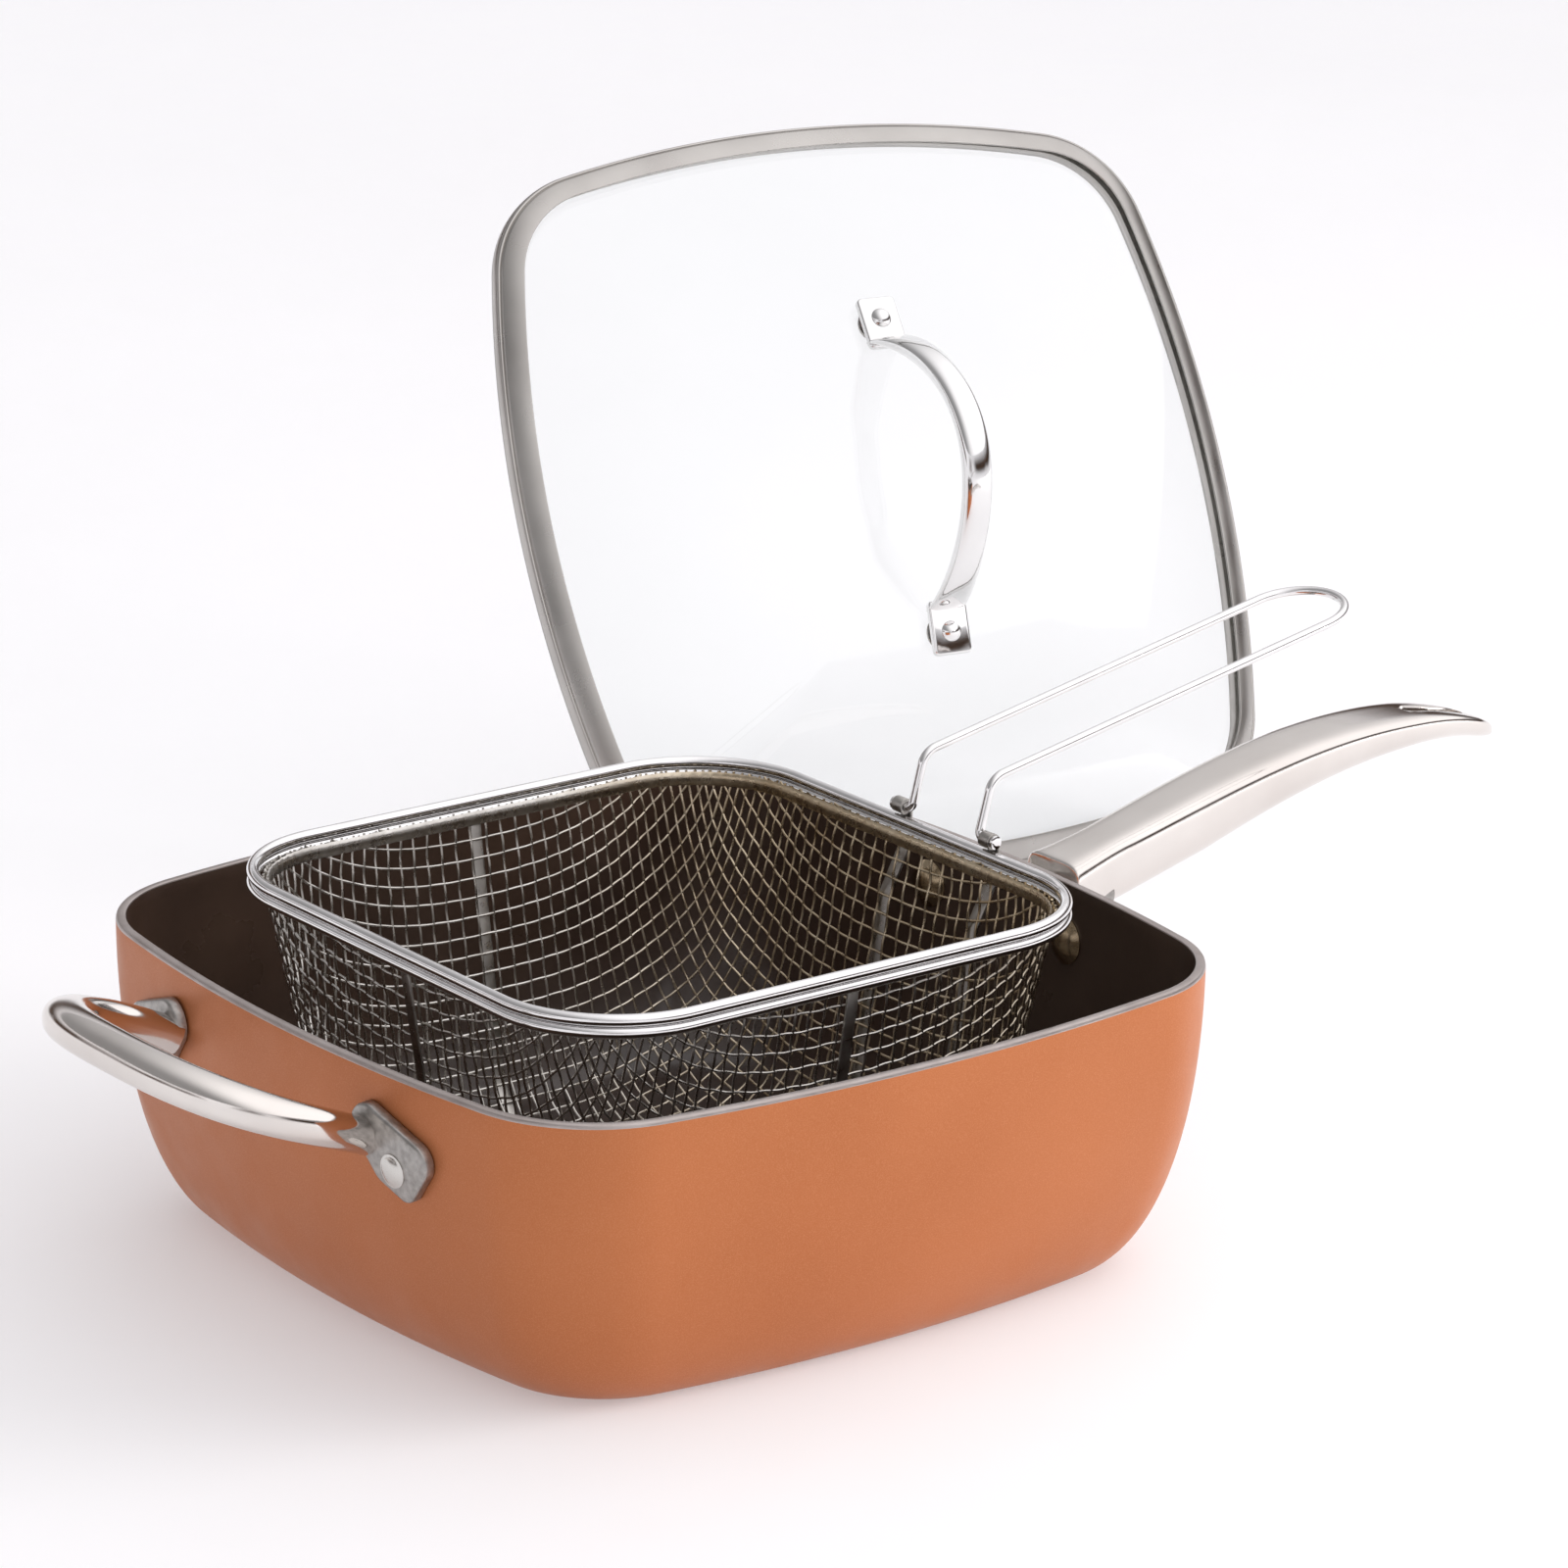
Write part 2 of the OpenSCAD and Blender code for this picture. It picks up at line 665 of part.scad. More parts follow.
// Rounded bar section square to the arch
function arch_ring(t) =
    let (p = arch_point(t), v = unit(arch_point(min(180, t + 1)) - arch_point(max(0, t - 1))),
         u = [0, -v[2], v[1]], w = arch_width / 2 + 2 * pow(abs(cos(t)), 6),
         h = 3.5 - 2.2 * pow(abs(cos(t)), 8))
    [for (i = [0 : 19]) let (a = -18 * i)
        p + [w * sign(cos(a)) * pow(abs(cos(a)), 0.8), 0, 0]
          + u * h * sign(sin(a)) * pow(abs(sin(a)), 0.8)];

module lid_handle() {
    color([0.82, 0.82, 0.83])
    stand_lid()
    difference() {
        union() {
            skin([for (i = [0 : 36]) arch_ring(180 * i / 36)]);
            for (s = [-1, 1])
                on_glass(s)
                    translate([0, -s * 1.5, 1.7])
                        linear_extrude(2.2) {
                            square([11, 20], center = true);
                            square([15, 16], center = true);
                            for (i = [-1, 1], j = [-1, 1])
                                translate([5.5 * i, 8 * j])
                                    circle(r = 2, $fn = 32);
                        }
        }
        for (s = [-1, 1])
            on_glass(s)
                cylinder(r = lid_wire + fit, h = 30, center = true, $fn = 48);
    }
}

module lid_screws() {
    color([0.6, 0.6, 0.6])
    stand_lid()
    for (s = [-1, 1])
        on_glass(s) {
            translate([0, 0, -glass_thick - 6])
                cylinder(r = lid_wire, h = glass_thick + 6 + pad_top + 0.5, $fn = 48);
            translate([0, 0, pad_top + touch / 2])
                button(3.9, 2.4);
        }
}

module lid_outer_washers() {
    color([0.2, 0.2, 0.2])
    stand_lid()
    for (s = [-1, 1])
        on_glass(s)
            translate([0, 0, 0.1])
                difference() {
                    cylinder(r = 7.5, h = 1.5, $fn = 64);
                    translate([0, 0, -1])
                        cylinder(r = lid_wire + fit, h = 4, $fn = 48);
                }
}

module lid_inner_washers() {
    color([0.7, 0.7, 0.7])
    stand_lid()
    for (s = [-1, 1])
        on_glass(s)
            translate([0, 0, -glass_thick - 1.5])
                difference() {
                    cylinder(r = 6.5, h = 1.2, $fn = 64);
                    translate([0, 0, -1])
                        cylinder(r = lid_wire + fit, h = 4, $fn = 48);
                }
}

module lid_nuts() {
    color([0.72, 0.72, 0.72])
    stand_lid()
    for (s = [-1, 1])
        on_glass(s)
            translate([0, 0, -glass_thick - 1.6])
                mirror([0, 0, 1])
                    difference() {
                        union() {
                            cylinder(r = 4.6, h = 3.4, $fn = 6);
                            translate([0, 0, 3.4 - eps])
                                button(3.9, 3);
                        }
                        translate([0, 0, -1])
                            cylinder(r = lid_wire + fit, h = 5.6, $fn = 48);
                    }
}

pan_body();
long_handle_bracket();
long_handle_rivets();
long_handle();
helper_handle();
helper_rivets();
basket_rim_upper();
basket_rim_lower();
basket_mesh();
basket_strap_long();
basket_strap_cross();
basket_handle_straps();
basket_handle();
lid_glass();
lid_band();
lid_handle();
lid_screws();
lid_outer_washers();
lid_inner_washers();
lid_nuts();
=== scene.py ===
"""Looks for the square deep-frying pan set: pan, wire basket and standing glass lid.

Sizes are millimetres in the part's own frame until mesh_object() turns them into metres.
"""

import math

import bmesh
import bpy
import numpy as np
from mathutils import Matrix, Vector


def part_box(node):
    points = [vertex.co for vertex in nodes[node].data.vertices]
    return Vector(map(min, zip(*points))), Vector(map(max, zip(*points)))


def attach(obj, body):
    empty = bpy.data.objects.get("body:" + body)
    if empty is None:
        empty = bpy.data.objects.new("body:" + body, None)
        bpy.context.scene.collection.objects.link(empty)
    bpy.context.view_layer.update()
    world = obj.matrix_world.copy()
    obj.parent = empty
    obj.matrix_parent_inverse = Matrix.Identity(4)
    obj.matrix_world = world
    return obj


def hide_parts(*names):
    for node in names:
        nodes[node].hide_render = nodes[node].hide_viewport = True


MM = 0.001
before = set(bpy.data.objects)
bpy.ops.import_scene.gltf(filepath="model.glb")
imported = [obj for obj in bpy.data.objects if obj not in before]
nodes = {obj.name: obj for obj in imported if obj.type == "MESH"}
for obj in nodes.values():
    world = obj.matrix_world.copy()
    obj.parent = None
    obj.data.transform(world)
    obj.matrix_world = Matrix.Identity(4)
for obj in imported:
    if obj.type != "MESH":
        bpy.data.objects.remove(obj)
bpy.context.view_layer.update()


def cad_low(node):
    return np.array(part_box(node)[0]) / MM


def cad_high(node):
    return np.array(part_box(node)[1]) / MM


def rad(degrees):
    return math.radians(degrees)


# ---- driving sizes, as in the CAD part ----------------------------------------------

PAN_HALF = cad_high("pan_body")[1]
PAN_HEIGHT = cad_high("pan_body")[2]
BASE_HALF = 108.3
RIM_BULGE = 16.4
RIM_CORNER = 45.5
BASE_BULGE = 11.5
BASE_CORNER = 32.0
WALL_POWER = 2.16
PAN_WALL = 3.2
PAN_FLOOR = 4.0
TOUCH = 0.12

HANDLE_START = cad_low("long_handle")[0]
HANDLE_END = cad_high("long_handle")[0]
CROWN_START = 93.0
CROWN_RISE = 24.5
GRIP_HALF = 12.5
SLOT_MID = 321.5
SLOT_LENGTH = 26.0
SLOT_WIDTH = 8.0
BRACKET_Z = 79.0
BRACKET_RIVET_Y = 35.0
HEAD_R = 5.2
HEAD_BURY = 0.6

HELPER_Y = 5.5
HELPER_HALF = 64.5
HELPER_REACH = 54.0
HELPER_RISE = 21.0
HELPER_FOOT_Z = 76.5
HELPER_BAR = 15.0
HELPER_THICK = 12.0
HELPER_RIVET_Z = 70.0
PAD_THICK = 3.5

RING_WIRE = (cad_high("basket_rim_upper")[2] - cad_low("basket_rim_upper")[2]) / 2
RING_Z = cad_high("basket_rim_upper")[2] - RING_WIRE
BASKET_HALF = cad_high("basket_rim_upper")[0] - RING_WIRE
RING_CORNER = 40.0
LOWER_RING_Z = cad_high("basket_rim_lower")[2] - RING_WIRE

WIRE_Y = -14.7
WIRE_HALF = 16.9
WIRE_R = 1.5
ELBOW_R = 2.2
LEG_LENGTH = 18.7
LEG_ANGLE = 75.0
ARM_ANGLE = 11.1
ARM_LENGTH = 141.0
KNEE_R = 7.0
EYE_R = 2.6
PIN_END = WIRE_HALF + ELBOW_R + 5.6

LID_HALF = 142.6
LID_BULGE = 22.4
LID_CORNER = 44.0
DOME_HEIGHT = 32.0
DOME_POWER = 2.2
GLASS_THICK = 3.0
BAND_BEAD = 1.3
LID_X = 310.6
LID_Y = 286.7
LID_LEAN = 30.25
LID_TURN = -11.1
LID_SCREW_Y = 58.5
ARCH_HEIGHT = 50.0
ARCH_WIDTH = 11.0


# ---- mesh helpers -------------------------------------------------------------------


def mesh_object(name, points, faces, crease=35.0):
    """New smooth-shaded object from points in millimetres, sharp only past the crease angle."""
    mesh = bpy.data.meshes.new(name)
    mesh.from_pydata((np.asarray(points) * MM).tolist(), [], faces)
    mesh.validate()
    mesh.shade_smooth()
    mesh.set_sharp_from_angle(angle=rad(crease))
    obj = bpy.data.objects.new(name, mesh)
    bpy.context.scene.collection.objects.link(obj)
    return obj


def grid_faces(rows, columns, loop=False, start=0):
    """Quads between rows of points that each close on themselves; loop joins last row to first."""
    faces = []
    for i in range(rows if loop else rows - 1):
        a = start + i * columns
        b = start + ((i + 1) % rows) * columns
        for j in range(columns):
            k = (j + 1) % columns
            faces.append((a + j, a + k, b + k, b + j))
    return faces


def skin(name, rings, loop=False, caps=True, crease=35.0):
    """Closed skin through rings with the same number of points."""
    rows, columns = len(rings), len(rings[0])
    faces = grid_faces(rows, columns, loop)
    if caps and not loop:
        faces.append(tuple(range(columns - 1, -1, -1)))
        faces.append(tuple(range((rows - 1) * columns, rows * columns)))
    return mesh_object(name, np.concatenate(rings), faces, crease)


def flip_if_inside_out(obj):
    """Points every face outwards."""
    bm = bmesh.new()
    bm.from_mesh(obj.data)
    bmesh.ops.recalc_face_normals(bm, faces=bm.faces)
    bm.to_mesh(obj.data)
    bm.free()
    return obj


def tubes(name, paths, radius, sides, ups=None, loop=False, ends=True):
    """Round wires along several paths, all in one mesh."""
    turn = np.arange(sides) * 2 * math.pi / sides
    points, faces, start = [], [], 0
    for number, path in enumerate(paths):
        path = np.asarray(path, float)
        if loop:
            ahead = np.roll(path, -1, 0) - np.roll(path, 1, 0)
        else:
            ahead = np.gradient(path, axis=0)
        ahead /= np.linalg.norm(ahead, axis=1)[:, None]
        up = np.asarray(ups[number] if ups is not None else [0, 0, 1.0], float)
        side = np.cross(ahead, np.broadcast_to(up, path.shape))
        side /= np.linalg.norm(side, axis=1)[:, None]
        lift = np.cross(side, ahead)
        ring = (
            path[:, None, :]
            + radius * np.cos(turn)[None, :, None] * side[:, None, :]
            + radius * np.sin(turn)[None, :, None] * lift[:, None, :]
        )
        points.append(ring.reshape(-1, 3))
        faces += grid_faces(len(path), sides, loop, start)
        if ends and not loop:
            faces.append(tuple(start + k for k in range(sides - 1, -1, -1)))
            last = start + (len(path) - 1) * sides
            faces.append(tuple(last + k for k in range(sides)))
        start += len(path) * sides
    return mesh_object(name, np.concatenate(points), faces, 60)


def lathe(name, profile, places, sides=56, crease=50.0):
    """The profile of (radius, height) turned round Z, once at each place (a 4x4 matrix)."""
    turn = np.arange(sides) * 2 * math.pi / sides
    points, faces = [], []
    for place in places:
        start = len(points)
        matrix = np.array(place)
        for r, z in profile:
            local = np.stack([r * np.cos(turn), r * np.sin(turn), np.full(sides, z), np.ones(sides)])
            points += (matrix @ local)[:3].T.tolist()
        rows = len(profile)
        faces += grid_faces(rows, sides, False, start)
        faces.append(tuple(start + k for k in range(sides - 1, -1, -1)))
        faces.append(tuple(start + (rows - 1) * sides + k for k in range(sides)))
    return flip_if_inside_out(mesh_object(name, points, faces, crease))


def join(name, parts):
    """One object from several, each keeping its own materials."""
    for part in parts:
        part.select_set(True)
    bpy.context.view_layer.objects.active = parts[0]
    with bpy.context.temp_override(
        active_object=parts[0], selected_editable_objects=parts, selected_objects=parts
    ):
        bpy.ops.object.join()
    parts[0].name = name
    parts[0].data.name = name
    return parts[0]


def apply_modifiers(obj):
    bpy.context.view_layer.update()
    graph = bpy.context.evaluated_depsgraph_get()
    mesh = bpy.data.meshes.new_from_object(obj.evaluated_get(graph))
    obj.modifiers.clear()
    obj.data = mesh
    return obj


def rounded_copy(node, width, crease=32.0, segments=2):
    """A copy of a CAD node with its sharp edges rounded by width millimetres."""
    obj = bpy.data.objects.new(node + "_rounded", nodes[node].data.copy())
    bpy.context.scene.collection.objects.link(obj)
    bm = bmesh.new()
    bm.from_mesh(obj.data)
    bmesh.ops.remove_doubles(bm, verts=bm.verts, dist=2e-6)
    bmesh.ops.dissolve_limit(bm, angle_limit=rad(0.4), verts=bm.verts, edges=bm.edges)
    bm.to_mesh(obj.data)
    bm.free()
    bevel = obj.modifiers.new("round", "BEVEL")
    bevel.width = width * MM
    bevel.segments = segments
    bevel.limit_method = "ANGLE"
    bevel.angle_limit = rad(crease)
    bevel.use_clamp_overlap = True
    apply_modifiers(obj)
    obj.data.shade_smooth()
    obj.data.set_sharp_from_angle(angle=rad(40))
    return obj


def dress(obj, material, body, slot, *replaced):
    """Gives a piece its material and body and hides the CAD nodes that it stands for; slot is not used.
    """
    if material is not None:
        obj.data.materials.clear()
        obj.data.materials.append(material)
    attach(obj, body)
    if replaced:
        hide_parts(*replaced)
    return obj


# ---- rounded square outlines --------------------------------------------------------

SIDE_STEPS = 22
CORNER_STEPS = 22


def outline(w, bulge, corner, inset, z, side_steps=SIDE_STEPS, corner_steps=CORNER_STEPS):
    """Rounded square of half width w with bulging sides, moved inwards by inset, at height z."""
    r = (w * w + bulge * bulge) / (2 * bulge)
    q = w - r
    d = r - corner
    m = (q + math.sqrt(2 * d * d - q * q)) / 2
    a = math.atan2(m, m - q)
    s = a * (2 * np.arange(side_steps) / side_steps - 1)
    side = np.stack([q + (r - inset) * np.cos(s), (r - inset) * np.sin(s)])
    c = a + (math.pi / 2 - 2 * a) * np.arange(corner_steps) / corner_steps
    bend = np.stack([m + (corner - inset) * np.cos(c), m + (corner - inset) * np.sin(c)])
    quarter = np.concatenate([side, bend], axis=1)
    turns = []
    for k in range(4):
        ck, sk = (1, 0, -1, 0)[k], (0, 1, 0, -1)[k]
        turns.append(np.stack([quarter[0] * ck - quarter[1] * sk, quarter[0] * sk + quarter[1] * ck]))
    flat = np.concatenate(turns, axis=1)
    return np.stack([flat[0], flat[1], np.full(flat.shape[1], float(z))], axis=1)


def wall_out(u):
    """Share of the way from base to rim size that the wall has reached at height share u."""
    return (1 - (1 - u) ** WALL_POWER) ** (1 / WALL_POWER)


def wall_half(z):
    """Half width of the pan at the middle of a side, at height z."""
    return BASE_HALF + (PAN_HALF - BASE_HALF) * wall_out(z / PAN_HEIGHT)


def wall_radius(z):
    """Radius of a side of the pan at height z, seen from above."""
    w = wall_half(z)
    b = BASE_BULGE + (RIM_BULGE - BASE_BULGE) * wall_out(z / PAN_HEIGHT)
    return (w * w + b * b) / (2 * b)


def wall_x(y, z):
    """How far out the +X wall is at (y, z)."""
    return wall_half(z) - wall_radius(z) + math.sqrt(wall_radius(z) ** 2 - y * y)


def on_wall(y, z):
    """Place on the +X wall whose Z axis runs along the wall's outward normal."""
    tilt = math.atan((wall_half(z + 1) - wall_half(z - 1)) / 2)
    yaw = math.asin(y / wall_radius(z))
    place = Matrix.Translation((wall_x(y, z), y, z))
    return place @ Matrix.Rotation(yaw, 4, "Z") @ Matrix.Rotation(math.pi / 2 + tilt, 4, "Y")


def helper_place(s):
    """Place on the -X wall at the near (s = -1) or far (s = 1) rivet of the helper handle."""
    return Matrix.Scale(-1, 4, (1, 0, 0)) @ on_wall(HELPER_Y + s * (HELPER_HALF + 1), HELPER_RIVET_Z)


# ---- materials ----------------------------------------------------------------------


class Look:
    """A Principled material with noise-driven colour, roughness and bump in object space."""

    def __init__(self, name, metallic=0.0, **sockets):
        self.material = bpy.data.materials.new(name)
        self.material.use_nodes = True
        self.tree = self.material.node_tree
        self.shader = self.tree.nodes["Principled BSDF"]
        self.shader.inputs["Metallic"].default_value = metallic
        for socket, value in sockets.items():
            self.shader.inputs[socket.replace("_", " ")].default_value = value
        self.where = self.tree.nodes.new("ShaderNodeTexCoord").outputs["Object"]
        self.height = None

    def link(self, a, b):
        self.tree.links.new(a, b)

    def noise(self, scale, detail=3.0, stretch=(1, 1, 1)):
        """Noise with features about 1/scale metres across; stretch draws it out into lines."""
        place = self.tree.nodes.new("ShaderNodeMapping")
        place.inputs["Scale"].default_value = stretch
        self.link(self.where, place.inputs["Vector"])
        node = self.tree.nodes.new("ShaderNodeTexNoise")
        node.inputs["Scale"].default_value = scale
        node.inputs["Detail"].default_value = detail
        self.link(place.outputs["Vector"], node.inputs["Vector"])
        return node.outputs["Fac"]

    def spread(self, value, low, high, start=0.3, end=0.7, kind="LINEAR"):
        """Maps value from start..end to low..high."""
        node = self.tree.nodes.new("ShaderNodeMapRange")
        node.interpolation_type = kind
        node.inputs["From Min"].default_value = start
        node.inputs["From Max"].default_value = end
        node.inputs["To Min"].default_value = low
        node.inputs["To Max"].default_value = high
        self.link(value, node.inputs["Value"])
        return node.outputs["Result"]

    def mix(self, factor, a, b):
        node = self.tree.nodes.new("ShaderNodeMix")
        node.data_type = "RGBA"
        self.link(factor, node.inputs["Factor"])
        for socket, value in (("A", a), ("B", b)):
            target = [i for i in node.inputs if i.name == socket and i.type == "RGBA"][0]
            if isinstance(value, tuple):
                target.default_value = (*value, 1)
            else:
                self.link(value, target)
        return [o for o in node.outputs if o.type == "RGBA"][0]

    def colour(self, factor, a, b):
        result = self.mix(factor, a, b)
        self.link(result, self.shader.inputs["Base Color"])
        return result

    def rough(self, value):
        self.link(value, self.shader.inputs["Roughness"])
        return self

    def bump(self, value, depth_mm, strength=1.0):
        """Adds a layer of bump; later layers lie on top of earlier ones."""
        node = self.tree.nodes.new("ShaderNodeBump")
        node.inputs["Distance"].default_value = depth_mm * MM
        node.inputs["Strength"].default_value = strength
        self.link(value, node.inputs["Height"])
        if self.height is not None:
            self.link(self.height, node.inputs["Normal"])
        self.height = node.outputs["Normal"]
        self.link(self.height, self.shader.inputs["Normal"])
        return self


def copper_paint():
    """Satin copper lacquer: a cloudy base with metal flake, under a thin clear coat."""
    coat = {"Coat_Weight": 0.08, "Coat_Roughness": 0.3}
    look = Look("copper_coat", metallic=0.45, Specular_IOR_Level=0.3, **coat)
    cloud = look.noise(14, 4)
    flake = look.noise(2600, 2)
    base = look.mix(look.spread(cloud, 0, 1), (0.425, 0.136, 0.046), (0.48, 0.158, 0.056))
    look.colour(look.spread(flake, 0, 0.4, 0.45, 0.75), base, (0.60, 0.25, 0.12))
    look.rough(look.spread(look.noise(55, 5), 0.36, 0.5))
    look.bump(look.noise(480, 2), 0.02)
    look.bump(flake, 0.006)
    return look.material


def machined_rim():
    """Bare aluminium left by the lathe on the flat of the rim, with fine scratches."""
    look = Look("machined_rim", metallic=1.0)
    look.colour(look.spread(look.noise(70, 5), 0, 1), (0.40, 0.35, 0.33), (0.52, 0.47, 0.45))
    look.rough(look.spread(look.noise(260, 4), 0.32, 0.48))
    look.bump(look.noise(1900, 3), 0.012)
    return look.material


def nonstick():
    """Dark brown non-stick with a film of oil: mottled gloss over a fine pebble."""
    look = Look("nonstick", Coat_Weight=0.35, Coat_Roughness=0.12, Specular_IOR_Level=0.5)
    look.colour(look.spread(look.noise(30, 5), 0, 1), (0.038, 0.021, 0.014), (0.06, 0.035, 0.024))
    look.rough(look.spread(look.noise(24, 6), 0.24, 0.42))
    look.bump(look.noise(900, 3), 0.03)
    look.bump(look.noise(60, 2), 0.12, 0.5)
    return look.material


def base_metal():
    """Turned aluminium under the pan: fine rings round the middle, dulled by use."""
    look = Look("base_metal", metallic=1.0)
    rings = look.tree.nodes.new("ShaderNodeTexWave")
    rings.wave_type = "RINGS"
    rings.rings_direction = "Z"
    rings.inputs["Scale"].default_value = 260
    rings.inputs["Distortion"].default_value = 0.15
    look.link(look.where, rings.inputs["Vector"])
    look.colour(look.spread(look.noise(26, 6), 0, 1), (0.42, 0.40, 0.39), (0.62, 0.60, 0.585))
    look.rough(look.spread(look.noise(40, 5), 0.28, 0.5))
    look.bump(rings.outputs["Fac"], 0.04)
    return look.material


def polished_steel(name, dark, light, low, high, wave_mm=0.1, stretch=(1, 1, 1)):
    """Polished steel: faint smears in the gloss, hairline scratches and a slow polishing wave."""
    look = Look(name, metallic=1.0)
    look.colour(look.spread(look.noise(22, 5), 0, 1), dark, light)
    smear = look.noise(38, 6, stretch)
    look.rough(look.spread(smear, low, high))
    look.bump(look.noise(45, 2), wave_mm, 0.6)
    look.bump(look.noise(1500, 4, stretch), 0.004)
    return look.material


def cast_steel(name, dark, light):
    """Tumbled cast steel: coarse skin, darker in its hollows."""
    look = Look(name, metallic=1.0)
    grain = look.noise(420, 5)
    look.colour(look.spread(grain, 0, 1), dark, light)
    look.rough(look.spread(look.noise(150, 5), 0.28, 0.46))
    look.bump(grain, 0.09)
    look.bump(look.noise(1800, 3), 0.02)
    return look.material


def wire_metal(name, dark, light, low, high):
    """Drawn wire: small changes of tone along it and light draw marks."""
    look = Look(name, metallic=1.0)
    look.colour(look.spread(look.noise(90, 4), 0, 1), dark, light)
    look.rough(look.spread(look.noise(300, 4), low, high))
    look.bump(look.noise(1200, 3), 0.01)
    return look.material


def greasy_net():
    """Net wire, yellowed by hot oil towards the wire-handle side."""
    look = Look("net_wire", metallic=1.0)
    split = look.tree.nodes.new("ShaderNodeSeparateXYZ")
    look.link(look.where, split.inputs["Vector"])
    side = look.spread(split.outputs["X"], 0.0, 1.0, 0.02, 0.11)
    clean = look.mix(look.spread(look.noise(120, 4), 0, 1), (0.50, 0.475, 0.44), (0.68, 0.655, 0.62))
    oiled = look.mix(look.spread(look.noise(60, 5), 0, 1), (0.42, 0.30, 0.16), (0.64, 0.53, 0.36))
    look.colour(side, clean, oiled)
    look.rough(look.spread(look.noise(200, 4), 0.2, 0.36))
    look.bump(look.noise(1500, 3), 0.012)
    return look.material


def clear_glass():
    """Clear tempered glass with a trace of green and wiped smears in the gloss."""
    look = Look("lid_glass", Transmission_Weight=1.0, IOR=1.47, Specular_IOR_Level=0.35)
    look.colour(look.spread(look.noise(9, 3), 0, 1), (0.955, 0.97, 0.965), (0.975, 0.985, 0.982))
    look.rough(look.spread(look.noise(26, 6), 0.0, 0.045, 0.45, 0.8))
    look.bump(look.noise(16, 2), 0.02, 0.4)
    tree = look.tree
    clear = tree.nodes.new("ShaderNodeBsdfTransparent")
    clear.inputs["Color"].default_value = (0.93, 0.945, 0.94, 1)
    path = tree.nodes.new("ShaderNodeLightPath")
    pick = tree.nodes.new("ShaderNodeMixShader")
    look.link(path.outputs["Is Shadow Ray"], pick.inputs[0])
    look.link(look.shader.outputs[0], pick.inputs[1])
    look.link(clear.outputs[0], pick.inputs[2])
    look.link(pick.outputs[0], tree.nodes["Material Output"].inputs["Surface"])
    return look.material


def silicone():
    """Soft dark grey silicone with a fine moulded skin."""
    look = Look("silicone", Subsurface_Weight=0.1)
    look.colour(look.spread(look.noise(180, 4), 0, 1), (0.05, 0.05, 0.05), (0.09, 0.088, 0.085))
    look.rough(look.spread(look.noise(260, 4), 0.42, 0.6))
    look.bump(look.noise(1300, 3), 0.02)
    return look.material


COPPER = copper_paint()
RIM = machined_rim()
NONSTICK = nonstick()
BASE = base_metal()
HANDLE = polished_steel("handle_steel", (0.70, 0.655, 0.62), (0.79, 0.75, 0.715), 0.06, 0.16)
CAST = cast_steel("cast_steel", (0.30, 0.285, 0.27), (0.47, 0.45, 0.43))
RIVET = polished_steel("rivet_steel", (0.55, 0.53, 0.50), (0.70, 0.68, 0.65), 0.14, 0.26, 0.03)
INNER_RIVET = polished_steel("inner_rivet", (0.40, 0.31, 0.20), (0.52, 0.42, 0.29), 0.12, 0.24, 0.03)
CHROME = wire_metal("basket_chrome", (0.78, 0.77, 0.77), (0.88, 0.87, 0.87), 0.05, 0.12)
NET = greasy_net()
STRAP = wire_metal("strap_steel", (0.33, 0.31, 0.29), (0.52, 0.50, 0.47), 0.24, 0.4)
GLASS = clear_glass()
BAND = polished_steel("band_steel", (0.42, 0.40, 0.38), (0.54, 0.52, 0.495), 0.24, 0.36, 0.02)
LID_CHROME = polished_steel("lid_chrome", (0.76, 0.755, 0.75), (0.87, 0.865, 0.86), 0.04, 0.11, 0.05)
SILICONE = silicone()


# ---- pan ----------------------------------------------------------------------------


def pan_ring(angle, base_z, inset):
    s = math.sin(angle) ** (2 / WALL_POWER)
    u = 1 - max(0.0, math.cos(angle)) ** (2 / WALL_POWER)
    z = base_z + (PAN_HEIGHT - base_z) * u
    return outline(
        BASE_HALF + (PAN_HALF - BASE_HALF) * s,
        BASE_BULGE + (RIM_BULGE - BASE_BULGE) * s,
        BASE_CORNER + (RIM_CORNER - BASE_CORNER) * s,
        inset,
        z,
    )


def rim_ring(inset, drop):
    return outline(PAN_HALF, RIM_BULGE, RIM_CORNER, inset, PAN_HEIGHT - drop)


def make_pan():
    steps = 40
    angles = [math.pi / 2 * i / steps for i in range(steps)]
    rings = [outline(BASE_HALF, BASE_BULGE, BASE_CORNER, t, z) for t, z in ((26, 0.9), (24, 0), (3, 0))]
    kinds = [BASE, BASE, COPPER]
    for a in angles:
        rings.append(pan_ring(a, 0, 0))
        kinds.append(COPPER)
    lip = [(0, 1.3, RIM), (0.12, 0.6, RIM), (0.4, 0.2, RIM), (0.8, 0, RIM), (PAN_WALL - 0.5, 0, RIM)]
    lip += [(PAN_WALL - 0.15, 0.15, RIM), (PAN_WALL, 0.5, NONSTICK)]
    for inset, drop, kind in lip:
        rings.append(rim_ring(inset, drop))
        kinds.append(kind)
    for a in reversed(angles):
        rings.append(pan_ring(a, PAN_FLOOR, PAN_WALL))
        kinds.append(NONSTICK)
    pan = skin("pan", rings, crease=28)
    palette = [COPPER, RIM, NONSTICK, BASE]
    for material in palette:
        pan.data.materials.append(material)
    columns = len(rings[0])
    index = [palette.index(kind) for kind in kinds[:-1] for _ in range(columns)]
    index += [palette.index(BASE), palette.index(NONSTICK)]
    pan.data.polygons.foreach_set("material_index", index)
    return dress(flip_if_inside_out(pan), None, "pan", "copper_coat", "pan_body")


